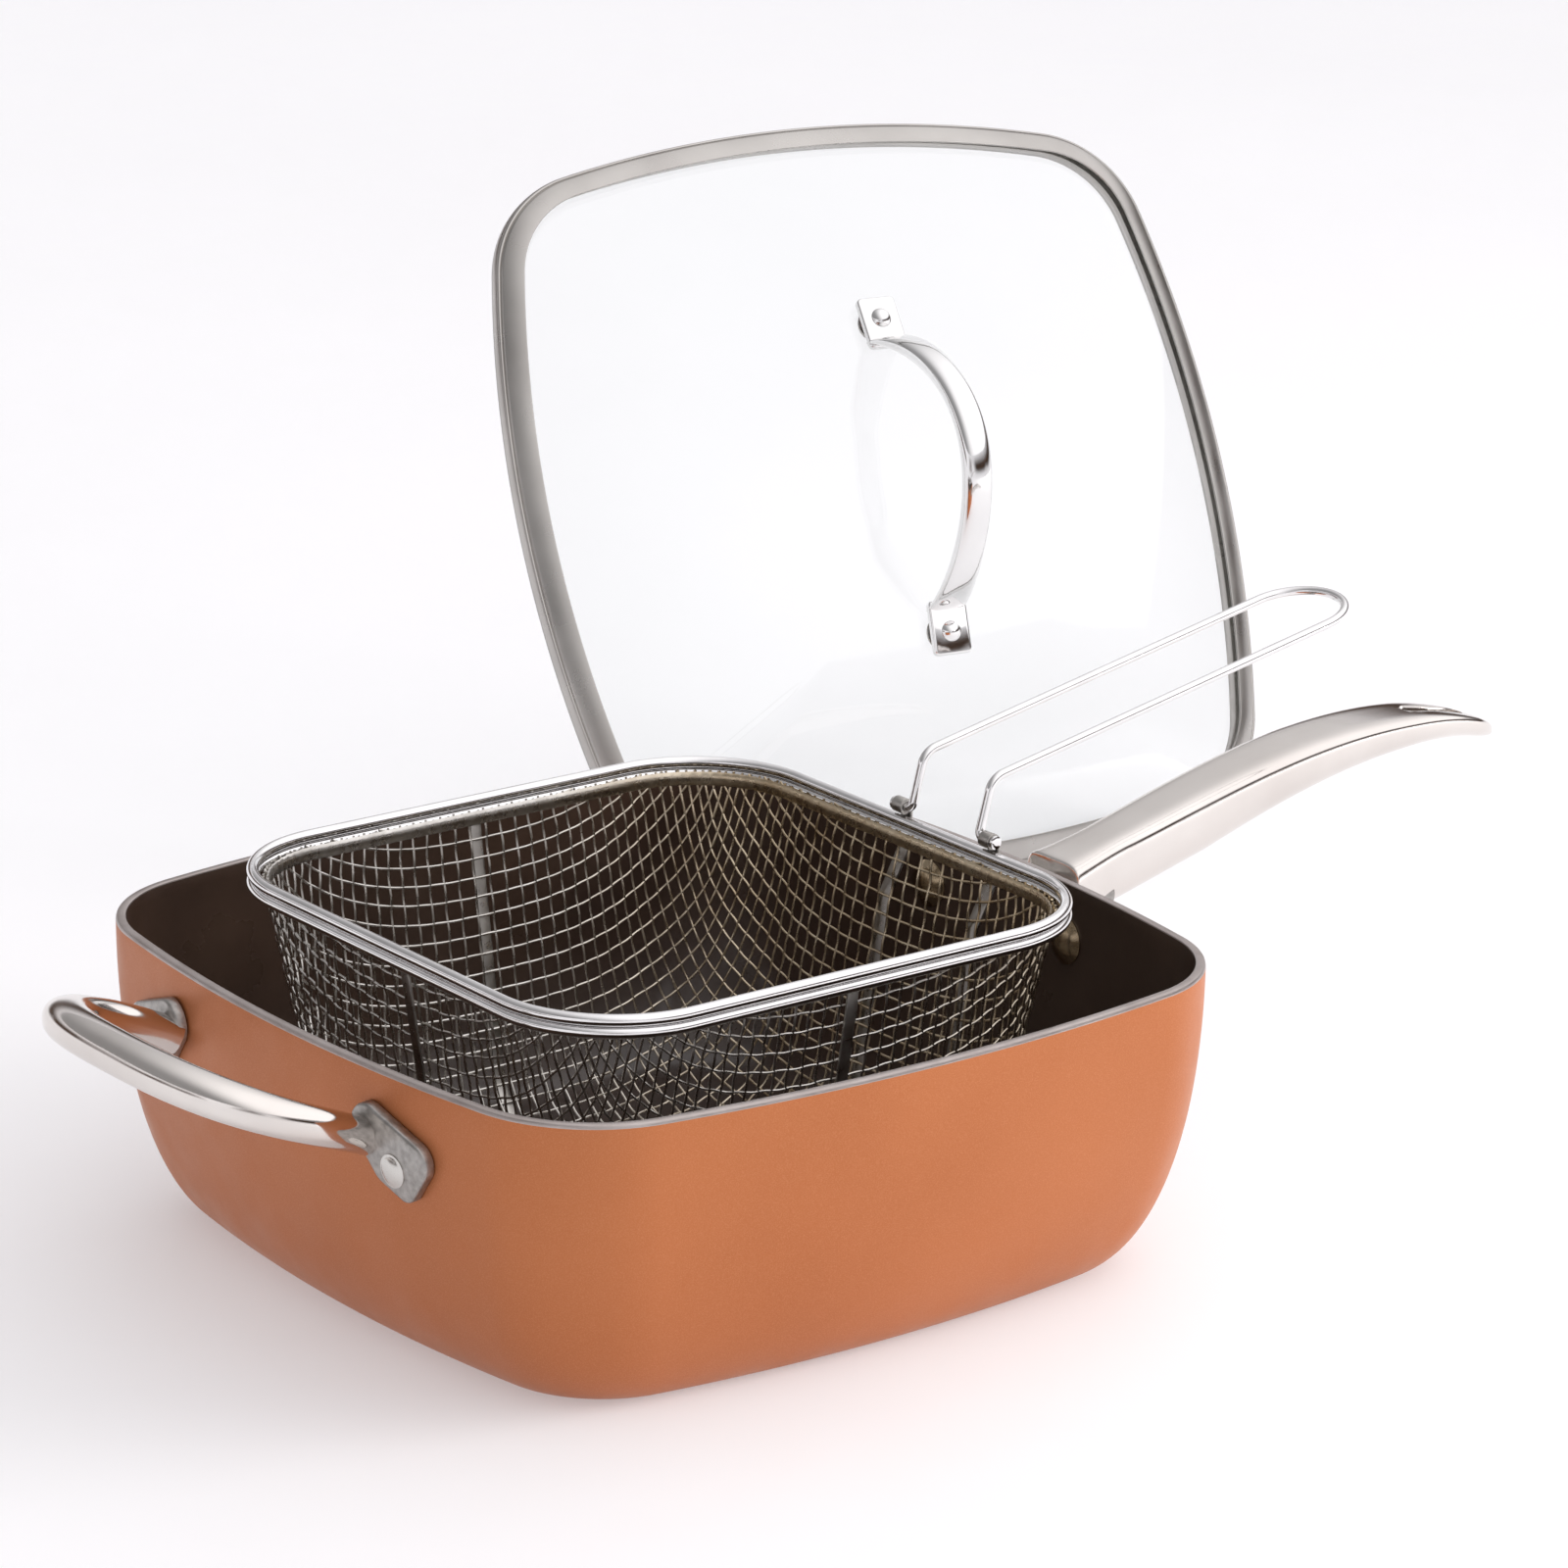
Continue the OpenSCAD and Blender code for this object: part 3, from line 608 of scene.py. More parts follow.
def head_profile(r, h):
    """Side of a low domed rivet head with a soft edge, starting a little below its seat."""
    ball = (r * r + h * h) / (2 * h)
    arc = []
    for i in range(1, 9):
        a = math.asin(min(1, r / ball)) * (1 - i / 8.6)
        arc.append((ball * math.sin(a), h - ball + ball * math.cos(a)))
    return [(r * 0.5, -HEAD_BURY), (r * 0.97, -HEAD_BURY), (r, 0.25)] + arc


def make_rivets(name, places, lift, head, dome, node):
    """Heads outside the wall, lift above the pads, and domes inside it; head and dome are (r, h)."""
    raised = Matrix.Translation((0, 0, PAD_THICK + lift))
    seat = Matrix.Translation((0, 0, -PAN_WALL - 0.3))
    flip = Matrix.Rotation(math.pi, 4, "X")
    heads = lathe("outer_heads", head_profile(*head), [place @ raised for place in places])
    heads.data.materials.append(RIVET)
    domes = lathe("inner_heads", head_profile(*dome), [place @ seat @ flip for place in places])
    domes.data.materials.append(INNER_RIVET)
    return dress(join(name, [heads, domes]), None, "pan", "rivet_steel", node)


# ---- long handle --------------------------------------------------------------------


def crown_z(t):
    """Height of the long handle's top at share t of its length."""
    rise = CROWN_RISE * math.sin(rad(180 * t**1.02 * 0.72)) ** 1.15
    return CROWN_START + rise - 1.5 * t**6 - 4.5 * max(0.0, (t - 0.78) / 0.22) ** 2.2


def handle_half(t):
    """Half width of the long handle: flared at the root, waisted, swelling, then drawn in."""
    if t < 0.12:
        return 13.2 - 2.4 * math.sin(rad(90 * t / 0.12))
    swell = (GRIP_HALF - 10.8) * max(0.0, math.sin(rad(180 * (t - 0.12) / 0.88))) ** 0.7
    return 10.8 + swell - 7.6 * max(0.0, (t - 0.72) / 0.28) ** 2.6


def belly_drop(t):
    """Depth of the long handle from its top to its belly."""
    flare = 3.5 * math.sin(rad(90 * min(1, t / 0.12)))
    return 27 - flare - 3 * t - 14.5 * max(0.0, (t - 0.3) / 0.7) ** 1.1


def power(value, exponent):
    """Power of the size of a value, with its sign kept."""
    return np.sign(value) * np.abs(value) ** exponent


def tip_share(t):
    """Share of the section that is left where the last of the handle rounds off."""
    return 1.0 if t < 0.94 else math.sqrt(1 - ((t - 0.94) / 0.0615) ** 2)


def handle_ring(t, out=0.0, shrink=1.0, sides=96):
    """Section of the long handle, moved along by out and drawn in by shrink at the root."""
    share = tip_share(t)
    middle = crown_z(t) - belly_drop(t) / 2
    deep = belly_drop(t) * share**0.7
    top, low = middle + deep / 2, middle - deep / 2
    mid = top - 0.38 * deep
    a = np.arange(sides) * 2 * math.pi / sides
    upper = np.sin(a) >= 0
    e = np.where(upper, 0.42, 0.86)
    y = handle_half(t) * share * power(np.cos(a), e)
    z = mid + np.where(upper, top - mid, mid - low) * power(np.sin(a), e)
    x = HANDLE_START + (HANDLE_END - HANDLE_START) * t + out
    return np.stack([np.full(sides, x), y * shrink, middle + (z - middle) * shrink], axis=1)


def stadium(length, width, steps=20):
    """Points round a slot with round ends, along x."""
    half = (length - width) / 2
    right = [rad(-90 + 180 * i / steps) for i in range(steps + 1)]
    points = [(half + width / 2 * math.cos(a), width / 2 * math.sin(a)) for a in right]
    return points + [(-x, -y) for x, y in points]


def make_long_handle():
    lead = [handle_ring(0, 0.0, 0.93), handle_ring(0, 0.15, 0.965), handle_ring(0, 0.6, 0.992)]
    body = [handle_ring(0.006 + 0.934 * i / 90) for i in range(91)]
    tip = [handle_ring(0.94 + 0.06 * math.sin(rad(5 * i))) for i in range(1, 19)]
    handle = flip_if_inside_out(skin("grip", lead + body + tip, crease=50))
    slot = stadium(SLOT_LENGTH, SLOT_WIDTH)
    rings = [np.array([(SLOT_MID + x, y, z) for x, y in slot]) for z in (70, 150)]
    cutter = flip_if_inside_out(skin("slot_cutter", rings))
    cut = handle.modifiers.new("slot", "BOOLEAN")
    cut.operation = "DIFFERENCE"
    cut.solver = "EXACT"
    cut.object = cutter
    soft = handle.modifiers.new("soft", "BEVEL")
    soft.width = 0.5 * MM
    soft.segments = 2
    soft.limit_method = "ANGLE"
    soft.angle_limit = rad(50)
    apply_modifiers(handle)
    bpy.data.objects.remove(cutter)
    handle.data.shade_smooth()
    handle.data.set_sharp_from_angle(angle=rad(60))
    return dress(handle, HANDLE, "pan", "handle_steel", "long_handle")


# ---- helper handle ------------------------------------------------------------------


def loop_point(a):
    """Centre line of the helper loop at angle a from its far foot to its near one."""
    d = math.sin(a) ** 0.75
    c = math.copysign(abs(math.cos(a)) ** 0.75, math.cos(a))
    far = wall_x(0.8 * HELPER_HALF + HELPER_Y, HELPER_FOOT_Z)
    near = wall_x(0.8 * HELPER_HALF - HELPER_Y, HELPER_FOOT_Z)
    wall = near + (far - near) * (1 + c) / 2
    return np.array([
        -wall - 2.5 - (HELPER_REACH - 2.3) * d,
        HELPER_Y + HELPER_HALF * (1 - 0.19 * (1 - d)) * c,
        HELPER_FOOT_Z + HELPER_RISE * d**0.93,
    ])


def loop_ring(a, sides=40):
    """Oval section square to the helper loop at angle a."""
    t = loop_point(min(math.pi, a + 0.008)) - loop_point(max(0, a - 0.008))
    t /= np.linalg.norm(t)
    n = np.cross(t, [0, 0, 1.0])
    n /= np.linalg.norm(n)
    b = np.cross(t, n)
    k = max(0.0, math.sin(a)) ** 0.6
    w = (HELPER_BAR - 2.5 * (1 - k)) / 2
    h = (HELPER_THICK - 0.8 * (1 - k)) / 2
    s = (np.arange(sides) * 2 * math.pi / sides)[:, None]
    return loop_point(a) + n * w * power(np.cos(s), 0.86) + b * h * power(np.sin(s), 0.86)


def hull_outline(circles, steps=72):
    """Outline of the convex hull of circles (x, y, r), as its support points."""
    points = []
    for i in range(steps):
        a = 2 * math.pi * i / steps
        x, y, r = max(circles, key=lambda c: c[0] * math.cos(a) + c[1] * math.sin(a) + c[2])
        points.append((x + r * math.cos(a), y + r * math.sin(a)))
    return np.array(points)


def soft_plate(name, circles, thick, edge, place):
    """Flat plate with a rounded upper edge, its face up along the place's Z axis."""
    rings = []
    for drop, inset in ((thick, 0.0), (edge, 0.0), (edge * 0.3, edge * 0.3), (0.0, edge)):
        flat = hull_outline([(x, y, r - inset) for x, y, r in circles])
        rings.append([(x, y, TOUCH + thick - drop) for x, y in flat])
    matrix = np.array(place)
    placed = [np.array(r) @ matrix[:3, :3].T + matrix[:3, 3] for r in rings]
    return flip_if_inside_out(skin(name, placed, crease=50))


def make_helper_handle():
    count = 150
    rings = []
    for i in range(count + 1):
        share = i / count
        rings.append(loop_ring(math.pi * (share - 0.12 * math.sin(2 * math.pi * share) / (2 * math.pi))))
    loop = flip_if_inside_out(skin("loop", rings))
    loop.data.materials.append(HANDLE)
    parts = [loop]
    for s in (-1, 1):
        leaf = [(-10.5, -11 * s, 7.5), (-4.5, 8.5 * s, 6.5), (-2, -3 * s, 8), (4.5, 4.5 * s, 4.5)]
        plate = soft_plate("pad", leaf, PAD_THICK, 1.0, helper_place(s))
        plate.data.materials.append(CAST)
        parts.append(plate)
    return dress(join("helper_loop", parts), None, "pan", "handle_steel", "helper_handle")


# ---- basket -------------------------------------------------------------------------

NET_TOP = RING_Z - 2
NET_TOP_HALF = BASKET_HALF - RING_WIRE - 0.7
NET_TOP_CORNER = RING_CORNER - 2.6
NET_FLOOR = cad_low("basket_mesh")[2]
NET_FLAT = 57.0
NET_HEEL = 28.0
NET_HEEL_END = rad(80)
NET_PITCH = 6.2
NET_WIRE = 0.42
NET_WAVE = 0.3
HEEL_HALF = NET_FLAT + NET_HEEL * math.sin(NET_HEEL_END)
HEEL_Z = NET_FLOOR + NET_HEEL * (1 - math.cos(NET_HEEL_END))
HEEL_LONG = NET_FLAT + NET_HEEL * NET_HEEL_END
WALL_LONG = math.hypot(NET_TOP_HALF - HEEL_HALF, NET_TOP - HEEL_Z)
NET_LONG = HEEL_LONG + WALL_LONG


def net_corner(w):
    """Corner radius of the net where its half width is w."""
    at_flat = NET_TOP_CORNER - (NET_TOP_HALF - NET_FLAT) * 0.3
    return np.where(w < NET_FLAT, at_flat * w / NET_FLAT, NET_TOP_CORNER - (NET_TOP_HALF - w) * 0.3)


def net_reach(p, q):
    """Distance along the net from its middle to the level of the flat cloth's point (p, q), p >= q."""
    n = 5 - 2.7 * np.minimum(1, p / 150)
    t = q / np.maximum(p, 1e-9)
    return p * (1 + t**n) ** (1 / n)


def net_point(u, v):
    """Where the flat cloth's point (u, v) lies once pressed into the basket's shape."""
    p = np.maximum(np.abs(u), np.abs(v))
    q = np.minimum(np.abs(u), np.abs(v))
    reach = net_reach(p, q)
    bend = np.clip((reach - NET_FLAT) / NET_HEEL, 0, NET_HEEL_END)
    climb = np.maximum(0, reach - HEEL_LONG) / WALL_LONG
    w = np.minimum(reach, NET_FLAT) + NET_HEEL * np.sin(bend) + (NET_TOP_HALF - HEEL_HALF) * climb
    z = NET_FLOOR + NET_HEEL * (1 - np.cos(bend)) + (NET_TOP - HEEL_Z) * climb
    c = net_corner(w)
    run = w - c + math.pi / 4 * c
    k0 = np.minimum(1.9, reach / np.maximum(run, 1e-9))
    k1 = 0.75 - 0.4 * np.minimum(1, reach / NET_LONG)
    t = q / np.maximum(p, 1e-9)
    s = run * (k0 * t + (3 - 2 * k0 - k1) * t**2 + (k0 + k1 - 2) * t**3)
    turn = np.maximum(0, s - (w - c)) / np.maximum(c, 1e-9)
    far = np.where(turn > 0, w - c + c * np.cos(turn), w)
    near = np.where(turn > 0, w - c + c * np.sin(turn), s)
    swap = np.abs(v) > np.abs(u)
    x = np.where(swap, near, far) * np.sign(u)
    y = np.where(swap, far, near) * np.sign(v)
    return np.stack([x, y, z], axis=-1)


def net_wire(level, number, along_x):
    """One woven wire and its outward directions: over and under its neighbours in turn."""
    low, high = 0.0, NET_LONG
    for _ in range(40):
        mid = (low + high) / 2
        inside = net_reach(np.maximum(mid, abs(level)), np.minimum(mid, abs(level))) < NET_LONG
        low, high = (mid, high) if inside else (low, mid)
    steps = max(4, int(round(2 * low / NET_PITCH * 4)))
    run = np.linspace(-low, low, steps + 1)
    across = np.full_like(run, level)
    u, v = (run, across) if along_x else (across, run)
    h = 0.4
    du = net_point(u + h, v) - net_point(u - h, v)
    dv = net_point(u, v + h) - net_point(u, v - h)
    out = -np.cross(du, dv)
    out /= np.linalg.norm(out, axis=1)[:, None]
    wave = np.cos(math.pi * run / NET_PITCH + math.pi * number) * (1 if along_x else -1)
    depth = NET_WAVE + NET_WIRE - NET_WAVE * wave
    return net_point(u, v) - out * depth[:, None], out


def make_hem():
    """Crimped metal strip folded over the net's upper edge."""
    section = [
        (1.5, -4.2), (1.45, -0.4), (1.8, 0.0), (2.3, -0.3), (2.45, -2.2), (2.35, -4.3), (1.9, -4.6),
    ]
    corner = float(net_corner(np.array(NET_TOP_HALF)))
    loops = [outline(NET_TOP_HALF, 0.3, corner, t, NET_TOP + dz, 96, 48) for t, dz in section]
    count = len(loops[0])
    crimp = 0.16 * np.cos(2 * math.pi * np.arange(count) * 0.32)
    rings = []
    for j in range(count):
        ring = np.array([loop[j] for loop in loops])
        inward = -ring[0][:2] / np.linalg.norm(ring[0][:2])
        ring[:, :2] += inward * crimp[j]
        rings.append(ring)
    return flip_if_inside_out(skin("hem", rings, loop=True, crease=60))


def make_net():
    paths, outs = [], []
    count = int(NET_LONG / NET_PITCH)
    for number in range(-count, count + 1):
        level = (number + 0.5) * NET_PITCH
        if abs(level) > NET_LONG - 2:
            continue
        for along_x in (True, False):
            path, out = net_wire(level, number, along_x)
            if len(path) > 6:
                paths.append(path)
                outs.append(out)
    parts = [tubes("wires", paths, NET_WIRE, 6, outs), make_hem()]
    for part in parts:
        part.data.materials.append(NET)
    return dress(join("net", parts), None, "basket", "net_wire", "basket_mesh")


def make_ring(name, z, node):
    path = outline(BASKET_HALF, 0.02, RING_CORNER, 0, z, 8, 28)
    ring = tubes(name, [path], RING_WIRE, 28, loop=True)
    return dress(ring, CHROME, "basket", "basket_chrome", node)


def wire_path():
    """Centre line of the wire handle from one pin to the other, measured from between the pins."""
    leg, arm = rad(LEG_ANGLE), rad(ARM_ANGLE)
    cut = KNEE_R * math.tan((leg - arm) / 2)
    leg_dir = np.array([math.cos(leg), 0, math.sin(leg)])
    arm_dir = np.array([math.cos(arm), 0, math.sin(arm)])
    y_dir = np.array([0, 1.0, 0])
    knee = (LEG_LENGTH - cut) * leg_dir + KNEE_R * np.array([math.sin(leg), 0, -math.cos(leg)])
    arm_start = knee + KNEE_R * np.array([-math.sin(arm), 0, math.cos(arm)])
    arm_end = arm_start + (ARM_LENGTH - cut) * arm_dir
    side = [np.array([0, PIN_END, 0]), np.array([0, WIRE_HALF + ELBOW_R + 0.3, 0])]
    for i in range(11):
        a = math.pi / 2 * i / 10
        out = WIRE_HALF + ELBOW_R * (1 - math.sin(a))
        side.append(y_dir * out + ELBOW_R * (1 - math.cos(a)) * leg_dir)
    for i in range(15):
        a = leg - (leg - arm) * i / 14
        bend = knee + KNEE_R * np.array([-math.sin(a), 0, math.cos(a)])
        side.append(bend + y_dir * WIRE_HALF)
    for i in range(1, 12):
        side.append(arm_start + (arm_end - arm_start) * i / 12 + y_dir * WIRE_HALF)
    bow = []
    for i in range(41):
        a = math.pi * i / 40
        bow.append(arm_end + WIRE_HALF * (math.cos(a) * y_dir + math.sin(a) * arm_dir))
    return np.array(side + bow + [p * np.array([1, -1, 1]) for p in reversed(side)])


def make_basket_handle():
    pivot = np.array([BASKET_HALF + 0.4, WIRE_Y, RING_Z + RING_WIRE + 0.4 + EYE_R])
    up = np.array([-math.sin(rad(ARM_ANGLE)), 0, math.cos(rad(ARM_ANGLE))])
    wire = tubes("bow", [wire_path() + pivot], WIRE_R - 0.02, 24, [up])
    ends = []
    for s in (-1, 1):
        turn = Matrix.Rotation(-s * math.pi / 2, 4, "X")
        at = pivot + np.array([0, s * PIN_END, 0])
        ends.append(Matrix.Translation(at.tolist()) @ turn)
    button = [(1.4, -0.3), (2.1, -0.1), (2.3, 0.25), (2.2, 0.7), (1.7, 0.95), (0.8, 1.0)]
    buttons = lathe("pin_heads", button, ends, 32)
    whole = join("wire_bow", [wire, buttons])
    return dress(whole, CHROME, "wire_handle", "basket_chrome", "basket_handle")


# ---- lid ----------------------------------------------------------------------------

LID_Z = LID_HALF * math.cos(rad(LID_LEAN)) + BAND_BEAD * math.sin(rad(LID_LEAN))
GLASS_INSET = 1.6
GLASS_HALF = LID_HALF - GLASS_INSET
GLASS_EDGE = GLASS_THICK + 0.15
GLASS_SIDE = (LID_HALF**2 + LID_BULGE**2) / (2 * LID_BULGE) - GLASS_INSET
GLASS_BULGE = GLASS_SIDE - math.sqrt(GLASS_SIDE**2 - GLASS_HALF**2)
STAND = (
    Matrix.Translation((LID_X, LID_Y, LID_Z))
    @ Matrix.Rotation(rad(LID_TURN), 4, "Z")
    @ Matrix.Rotation(rad(90 - LID_LEAN), 4, "X")
)


def stand(points):
    """Points of the lid lying flat, moved to where it stands behind the pan."""
    m = np.array(STAND)
    return np.asarray(points) @ m[:3, :3].T + m[:3, 3]


def dome_z(s):
    """Height of the glass's outer face at share s of the way out, the lid lying flat."""
    return GLASS_EDGE + DOME_HEIGHT * (1 - s**DOME_POWER)


SCREW_SHARE = LID_SCREW_Y / GLASS_HALF
DOME_SLOPE = math.atan(DOME_HEIGHT * DOME_POWER * SCREW_SHARE ** (DOME_POWER - 1) / GLASS_HALF)


def on_glass(s):
    """Place on the standing glass at its upper (s = 1) or lower (s = -1) screw."""
    place = Matrix.Translation((0, s * LID_SCREW_Y, dome_z(SCREW_SHARE)))
    return STAND @ place @ Matrix.Rotation(-s * DOME_SLOPE, 4, "X")


def make_glass():
    shares = [0.02 + 0.98 * (i / 44) ** 0.8 for i in range(45)]

    def ring(s, drop, shrink=0.0):
        k = s - shrink / GLASS_HALF
        corner = (LID_CORNER - GLASS_INSET) * k
        return outline(GLASS_HALF * k, GLASS_BULGE * k, corner, 0, dome_z(s) - drop)

    rings = [ring(s, GLASS_THICK, 0.3 if s == 1 else 0) for s in shares]
    rings += [ring(1, GLASS_THICK * 0.75), ring(1, GLASS_THICK * 0.25)]
    rings += [ring(s, 0, 0.3 if s == 1 else 0) for s in reversed(shares)]
    glass = flip_if_inside_out(skin("dome", [stand(r) for r in rings], crease=70))
    return dress(glass, GLASS, "lid", "lid_glass", "lid_glass")


def make_band():
    section = [
        (0.35, -1.3), (0.0, -0.9), (0.0, 1.3), (0.12, 2.6), (0.3, 3.3), (0.55, 3.9), (0.9, 4.15),
        (1.25, 4.1), (1.5, 3.95), (1.75, 4.2), (1.95, 4.9), (2.3, 5.3), (5.5, 7.1), (8.6, 8.75),
        (8.95, 8.8), (9.2, 8.5), (9.1, 8.05), (1.5, GLASS_EDGE + 0.6), (1.42, -0.15), (7.5, -0.15),
        (7.6, -0.4), (7.6, -4.8), (7.4, -5.0), (6.8, -5.0), (6.6, -4.8), (6.6, -1.4),
    ]
    loops = [outline(LID_HALF, LID_BULGE, LID_CORNER, t, z, 36, 32) for t, z in section]
    rings = [stand([loop[j] for loop in loops]) for j in range(len(loops[0]))]
    band = flip_if_inside_out(skin("hoop", rings, loop=True, crease=45))
    return dress(band, BAND, "lid", "band_steel", "lid_band")


PAD_TOP = 3.9
ARCH_HALF = LID_SCREW_Y - 8
ARCH_FOOT = dome_z(SCREW_SHARE) + PAD_TOP - 1.3


def arch_point(a):
    rise = ARCH_HEIGHT * max(0.0, math.sin(a)) ** 1.45 * (1 - 0.06 * math.cos(a) ** 2)
    return np.array([0, -ARCH_HALF * math.cos(a), ARCH_FOOT + rise])


def arch_ring(a, sides=36):
    v = arch_point(min(math.pi, a + 0.015)) - arch_point(max(0, a - 0.015))
    v /= np.linalg.norm(v)
    u = np.array([0, -v[2], v[1]])
    c = abs(math.cos(a))
    w = ARCH_WIDTH / 2 + 2 * c**6
    h = 3.5 - 2.2 * c**8
    s = (-np.arange(sides) * 2 * math.pi / sides)[:, None]
    flat = np.array([1.0, 0, 0])
    return arch_point(a) + flat * w * power(np.cos(s), 0.8) + u * h * power(np.sin(s), 0.8)


def make_lid_handle():
    rings = [stand(arch_ring(math.pi * i / 120)) for i in range(121)]
    parts = [flip_if_inside_out(skin("arch", rings))]
    for s in (-1, 1):
        place = on_glass(s) @ Matrix.Translation((0, -s * 1.5, 1.7 - TOUCH))
        corners = [(5.5 * i, 8 * j, 2) for i in (-1, 1) for j in (-1, 1)]
        parts.append(soft_plate("pad", corners, 2.2, 0.7, place))
    return dress(join("arch_handle", parts), LID_CHROME, "lid", "lid_chrome", "lid_handle")


# ---- build --------------------------------------------------------------------------


def soften(node, width, material, body, slot):
    """Shows a CAD node as it is, with its edges rounded."""
    return dress(rounded_copy(node, width), material, body, slot, node)


make_pan()
bracket_places = [on_wall(s * BRACKET_RIVET_Y, BRACKET_Z) for s in (-1, 1)]
make_rivets("long_rivets", bracket_places, 0.25, (HEAD_R, 1.8), (7.8, 3.3), "long_handle_rivets")
helper_places = [helper_place(s) for s in (-1, 1)]
make_rivets("helper_rivet_heads", helper_places, 0.2, (HEAD_R, 1.7), (5.8, 2.6), "helper_rivets")
make_long_handle()
make_helper_handle()
soften("long_handle_bracket", 0.9, CAST, "pan", "cast_steel")
make_ring("upper_ring", RING_Z, "basket_rim_upper")
make_ring("lower_ring", LOWER_RING_Z, "basket_rim_lower")
make_net()
for strap in ("basket_strap_long", "basket_strap_cross", "basket_handle_straps"):
    soften(strap, 0.25, STRAP, "basket", "strap_steel")
make_basket_handle()
make_glass()
make_band()
make_lid_handle()
soften("lid_screws", 0.3, LID_CHROME, "lid", "lid_chrome")
soften("lid_nuts", 0.35, LID_CHROME, "lid", "lid_chrome")
soften("lid_inner_washers", 0.25, BAND, "lid", "band_steel")
soften("lid_outer_washers", 0.3, SILICONE, "lid", "silicone")


# ---- studio -------------------------------------------------------------------------


def stage_floor():
    """Pale sweep that glows a little: a flat disc whose far edge curves up all round."""
    sides = 96
    turn = np.arange(sides) * 2 * math.pi / sides
    profile = [(0.0005, 0.0), (1.0, 0.0), (3.5, 0.0)]
    profile += [(3.5 + 2 * math.sin(rad(a)), 2 * (1 - math.cos(rad(a)))) for a in range(10, 91, 10)]
    rings = [
        np.stack([r * np.cos(turn), r * np.sin(turn), np.full(sides, z - 0.0002)], axis=1) * 1000
        for r, z in profile
    ]
    floor = skin("sweep", rings, caps=False, crease=180)
    look = Look("sweep", Specular_IOR_Level=0.25, Emission_Strength=0.33)
    look.shader.inputs["Emission Color"].default_value = (0.98, 0.965, 0.99, 1)
    look.colour(look.spread(look.noise(3, 3), 0, 1), (0.63, 0.63, 0.64), (0.645, 0.645, 0.655))
    look.rough(look.spread(look.noise(40, 3), 0.55, 0.65))
    floor.data.materials.append(look.material)


def horizon_ring(low, high, colour):
    """Patchy matt ring round the studio, seen only in reflections, fading out above and below."""
    radius, steps = 2.6, 48
    turn = [2 * math.pi * i / steps for i in range(steps)]
    points = [(1000 * radius * math.cos(a), 1000 * radius * math.sin(a), 1000 * z)
              for z in (low, high) for a in turn]
    faces = [(i, (i + 1) % steps, (i + 1) % steps + steps, i + steps) for i in range(steps)]
    ring = mesh_object("horizon", points, faces)
    paint = Look("horizon", Specular_IOR_Level=0.0)
    paint.colour(paint.spread(paint.noise(5, 2), 0, 1), colour, tuple(1.3 * c for c in colour))
    split = paint.tree.nodes.new("ShaderNodeSeparateXYZ")
    paint.link(paint.where, split.inputs[0])
    cover = paint.spread(paint.noise(0.5, 1), 0.0, 1.0, 0.36, 0.56)
    for start, stop in ((low, low + 0.3 * (high - low)), (high, low + 0.4 * (high - low))):
        times = paint.tree.nodes.new("ShaderNodeMath")
        times.operation = "MULTIPLY"
        paint.link(paint.spread(split.outputs["Z"], 0.0, 1.0, start, stop, "SMOOTHSTEP"), times.inputs[0])
        paint.link(cover, times.inputs[1])
        cover = times.outputs[0]
    paint.link(cover, paint.shader.inputs["Alpha"])
    ring.data.materials.append(paint.material)
    ring.visible_camera = False
    ring.visible_shadow = False
    ring.visible_diffuse = False
    ring.visible_transmission = False


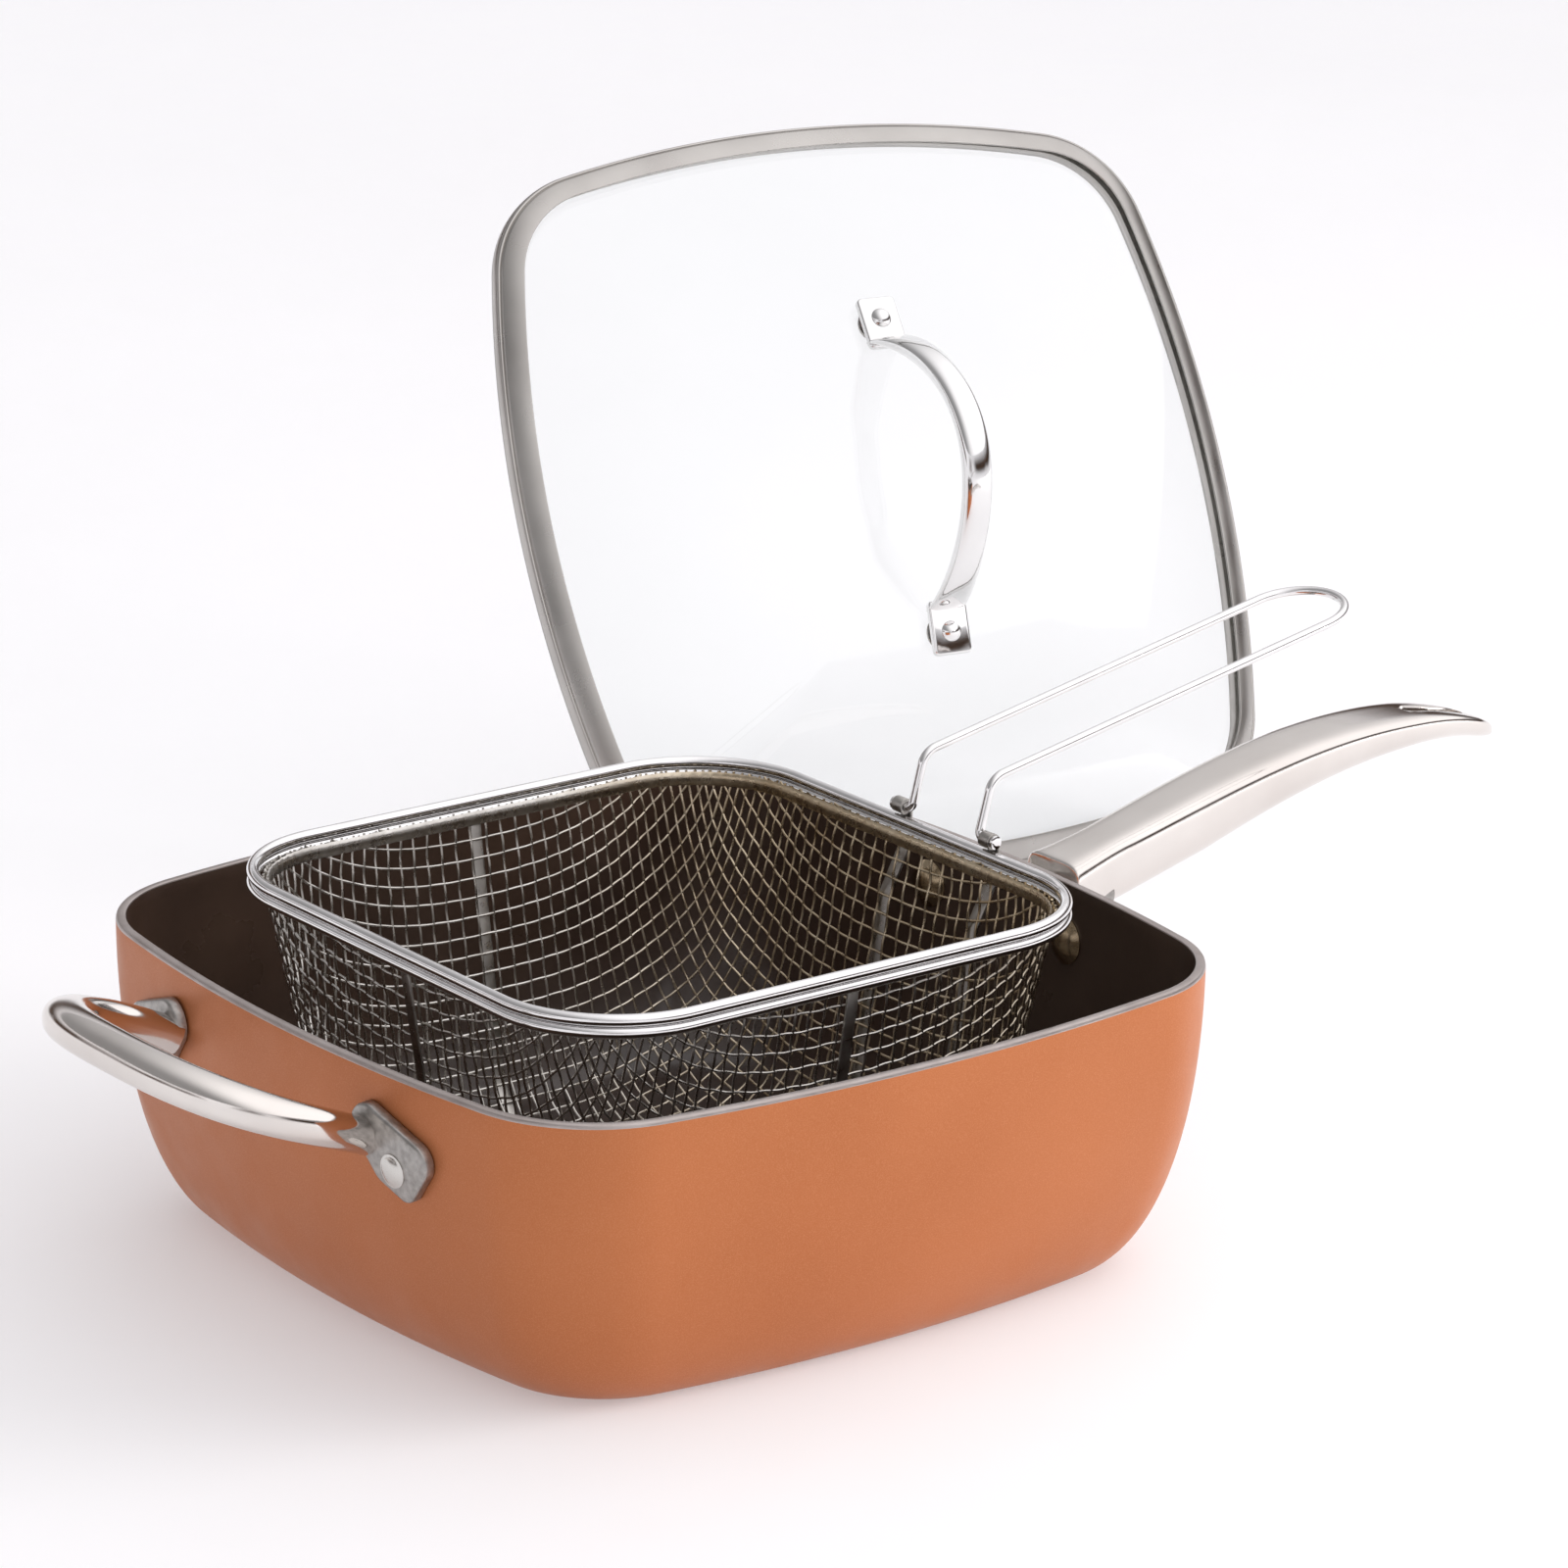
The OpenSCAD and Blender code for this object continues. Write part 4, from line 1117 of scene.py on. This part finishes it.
def soft_sky(base, glow, towards, edge):
    """World light: an even base and one wide glow that fades out smoothly round a direction."""
    world = bpy.data.worlds.new("studio")
    world.use_nodes = True
    tree = world.node_tree
    where = tree.nodes.new("ShaderNodeTexCoord")
    dot = tree.nodes.new("ShaderNodeVectorMath")
    dot.operation = "DOT_PRODUCT"
    dot.inputs[1].default_value = Vector(towards).normalized()
    lobe = tree.nodes.new("ShaderNodeMapRange")
    lobe.interpolation_type = "SMOOTHERSTEP"
    lobe.inputs["From Min"].default_value = edge
    lobe.inputs["From Max"].default_value = 1.0
    lobe.inputs["To Min"].default_value = base
    lobe.inputs["To Max"].default_value = base + glow
    tree.links.new(where.outputs["Generated"], dot.inputs[0])
    tree.links.new(dot.outputs["Value"], lobe.inputs["Value"])
    tree.links.new(lobe.outputs["Result"], tree.nodes["Background"].inputs["Strength"])
    tree.nodes["Background"].inputs["Color"].default_value = (1.0, 0.985, 1.0, 1)
    bpy.context.scene.world = world


def side_light():
    """Large soft box low on the right, left out of reflections: the sky's glow shows there instead."""
    data = bpy.data.lights.new("side_light", "AREA")
    data.shape = "DISK"
    data.size = 1.1
    data.energy = 34
    data.color = (1.0, 0.96, 0.94)
    light = bpy.data.objects.new("side_light", data)
    bpy.context.scene.collection.objects.link(light)
    light.location = (1.5, -1.05, 0.42)
    aim = Vector((0.1, -0.05, 0.05)) - light.location
    light.rotation_euler = aim.to_track_quat("-Z", "Y").to_euler()
    light.visible_glossy = False
    light.visible_transmission = False


def studio():
    stage_floor()
    soft_sky(0.32, 1.08, (0.72, -0.5, 0.62), -0.3)
    side_light()
    horizon_ring(0.05, 1.1, (0.05, 0.03, 0.02))
    bpy.context.scene.view_settings.view_transform = "Standard"


def camera():
    """Long lens above the rim, turned to the pan's near corner."""
    azimuth, elevation, roll = rad(-37.583), rad(17.6997), rad(0.8394)
    right = Vector((math.cos(azimuth), math.sin(azimuth), 0))
    flat = math.cos(elevation)
    back = Vector((math.sin(azimuth) * flat, -math.cos(azimuth) * flat, math.sin(elevation)))
    up = back.cross(right)
    right2 = math.cos(roll) * right + math.sin(roll) * up
    up2 = -math.sin(roll) * right + math.cos(roll) * up
    data = bpy.data.cameras.new("camera")
    data.sensor_width = 36
    data.lens = 156.72
    data.clip_end = 50
    obj = bpy.data.objects.new("camera", data)
    turn = Matrix((right2, up2, back)).transposed().to_4x4()
    obj.matrix_world = Matrix.Translation((-1.183889, -1.601292, 0.782708)) @ turn
    bpy.context.scene.collection.objects.link(obj)
    bpy.context.scene.camera = obj


studio()
camera()
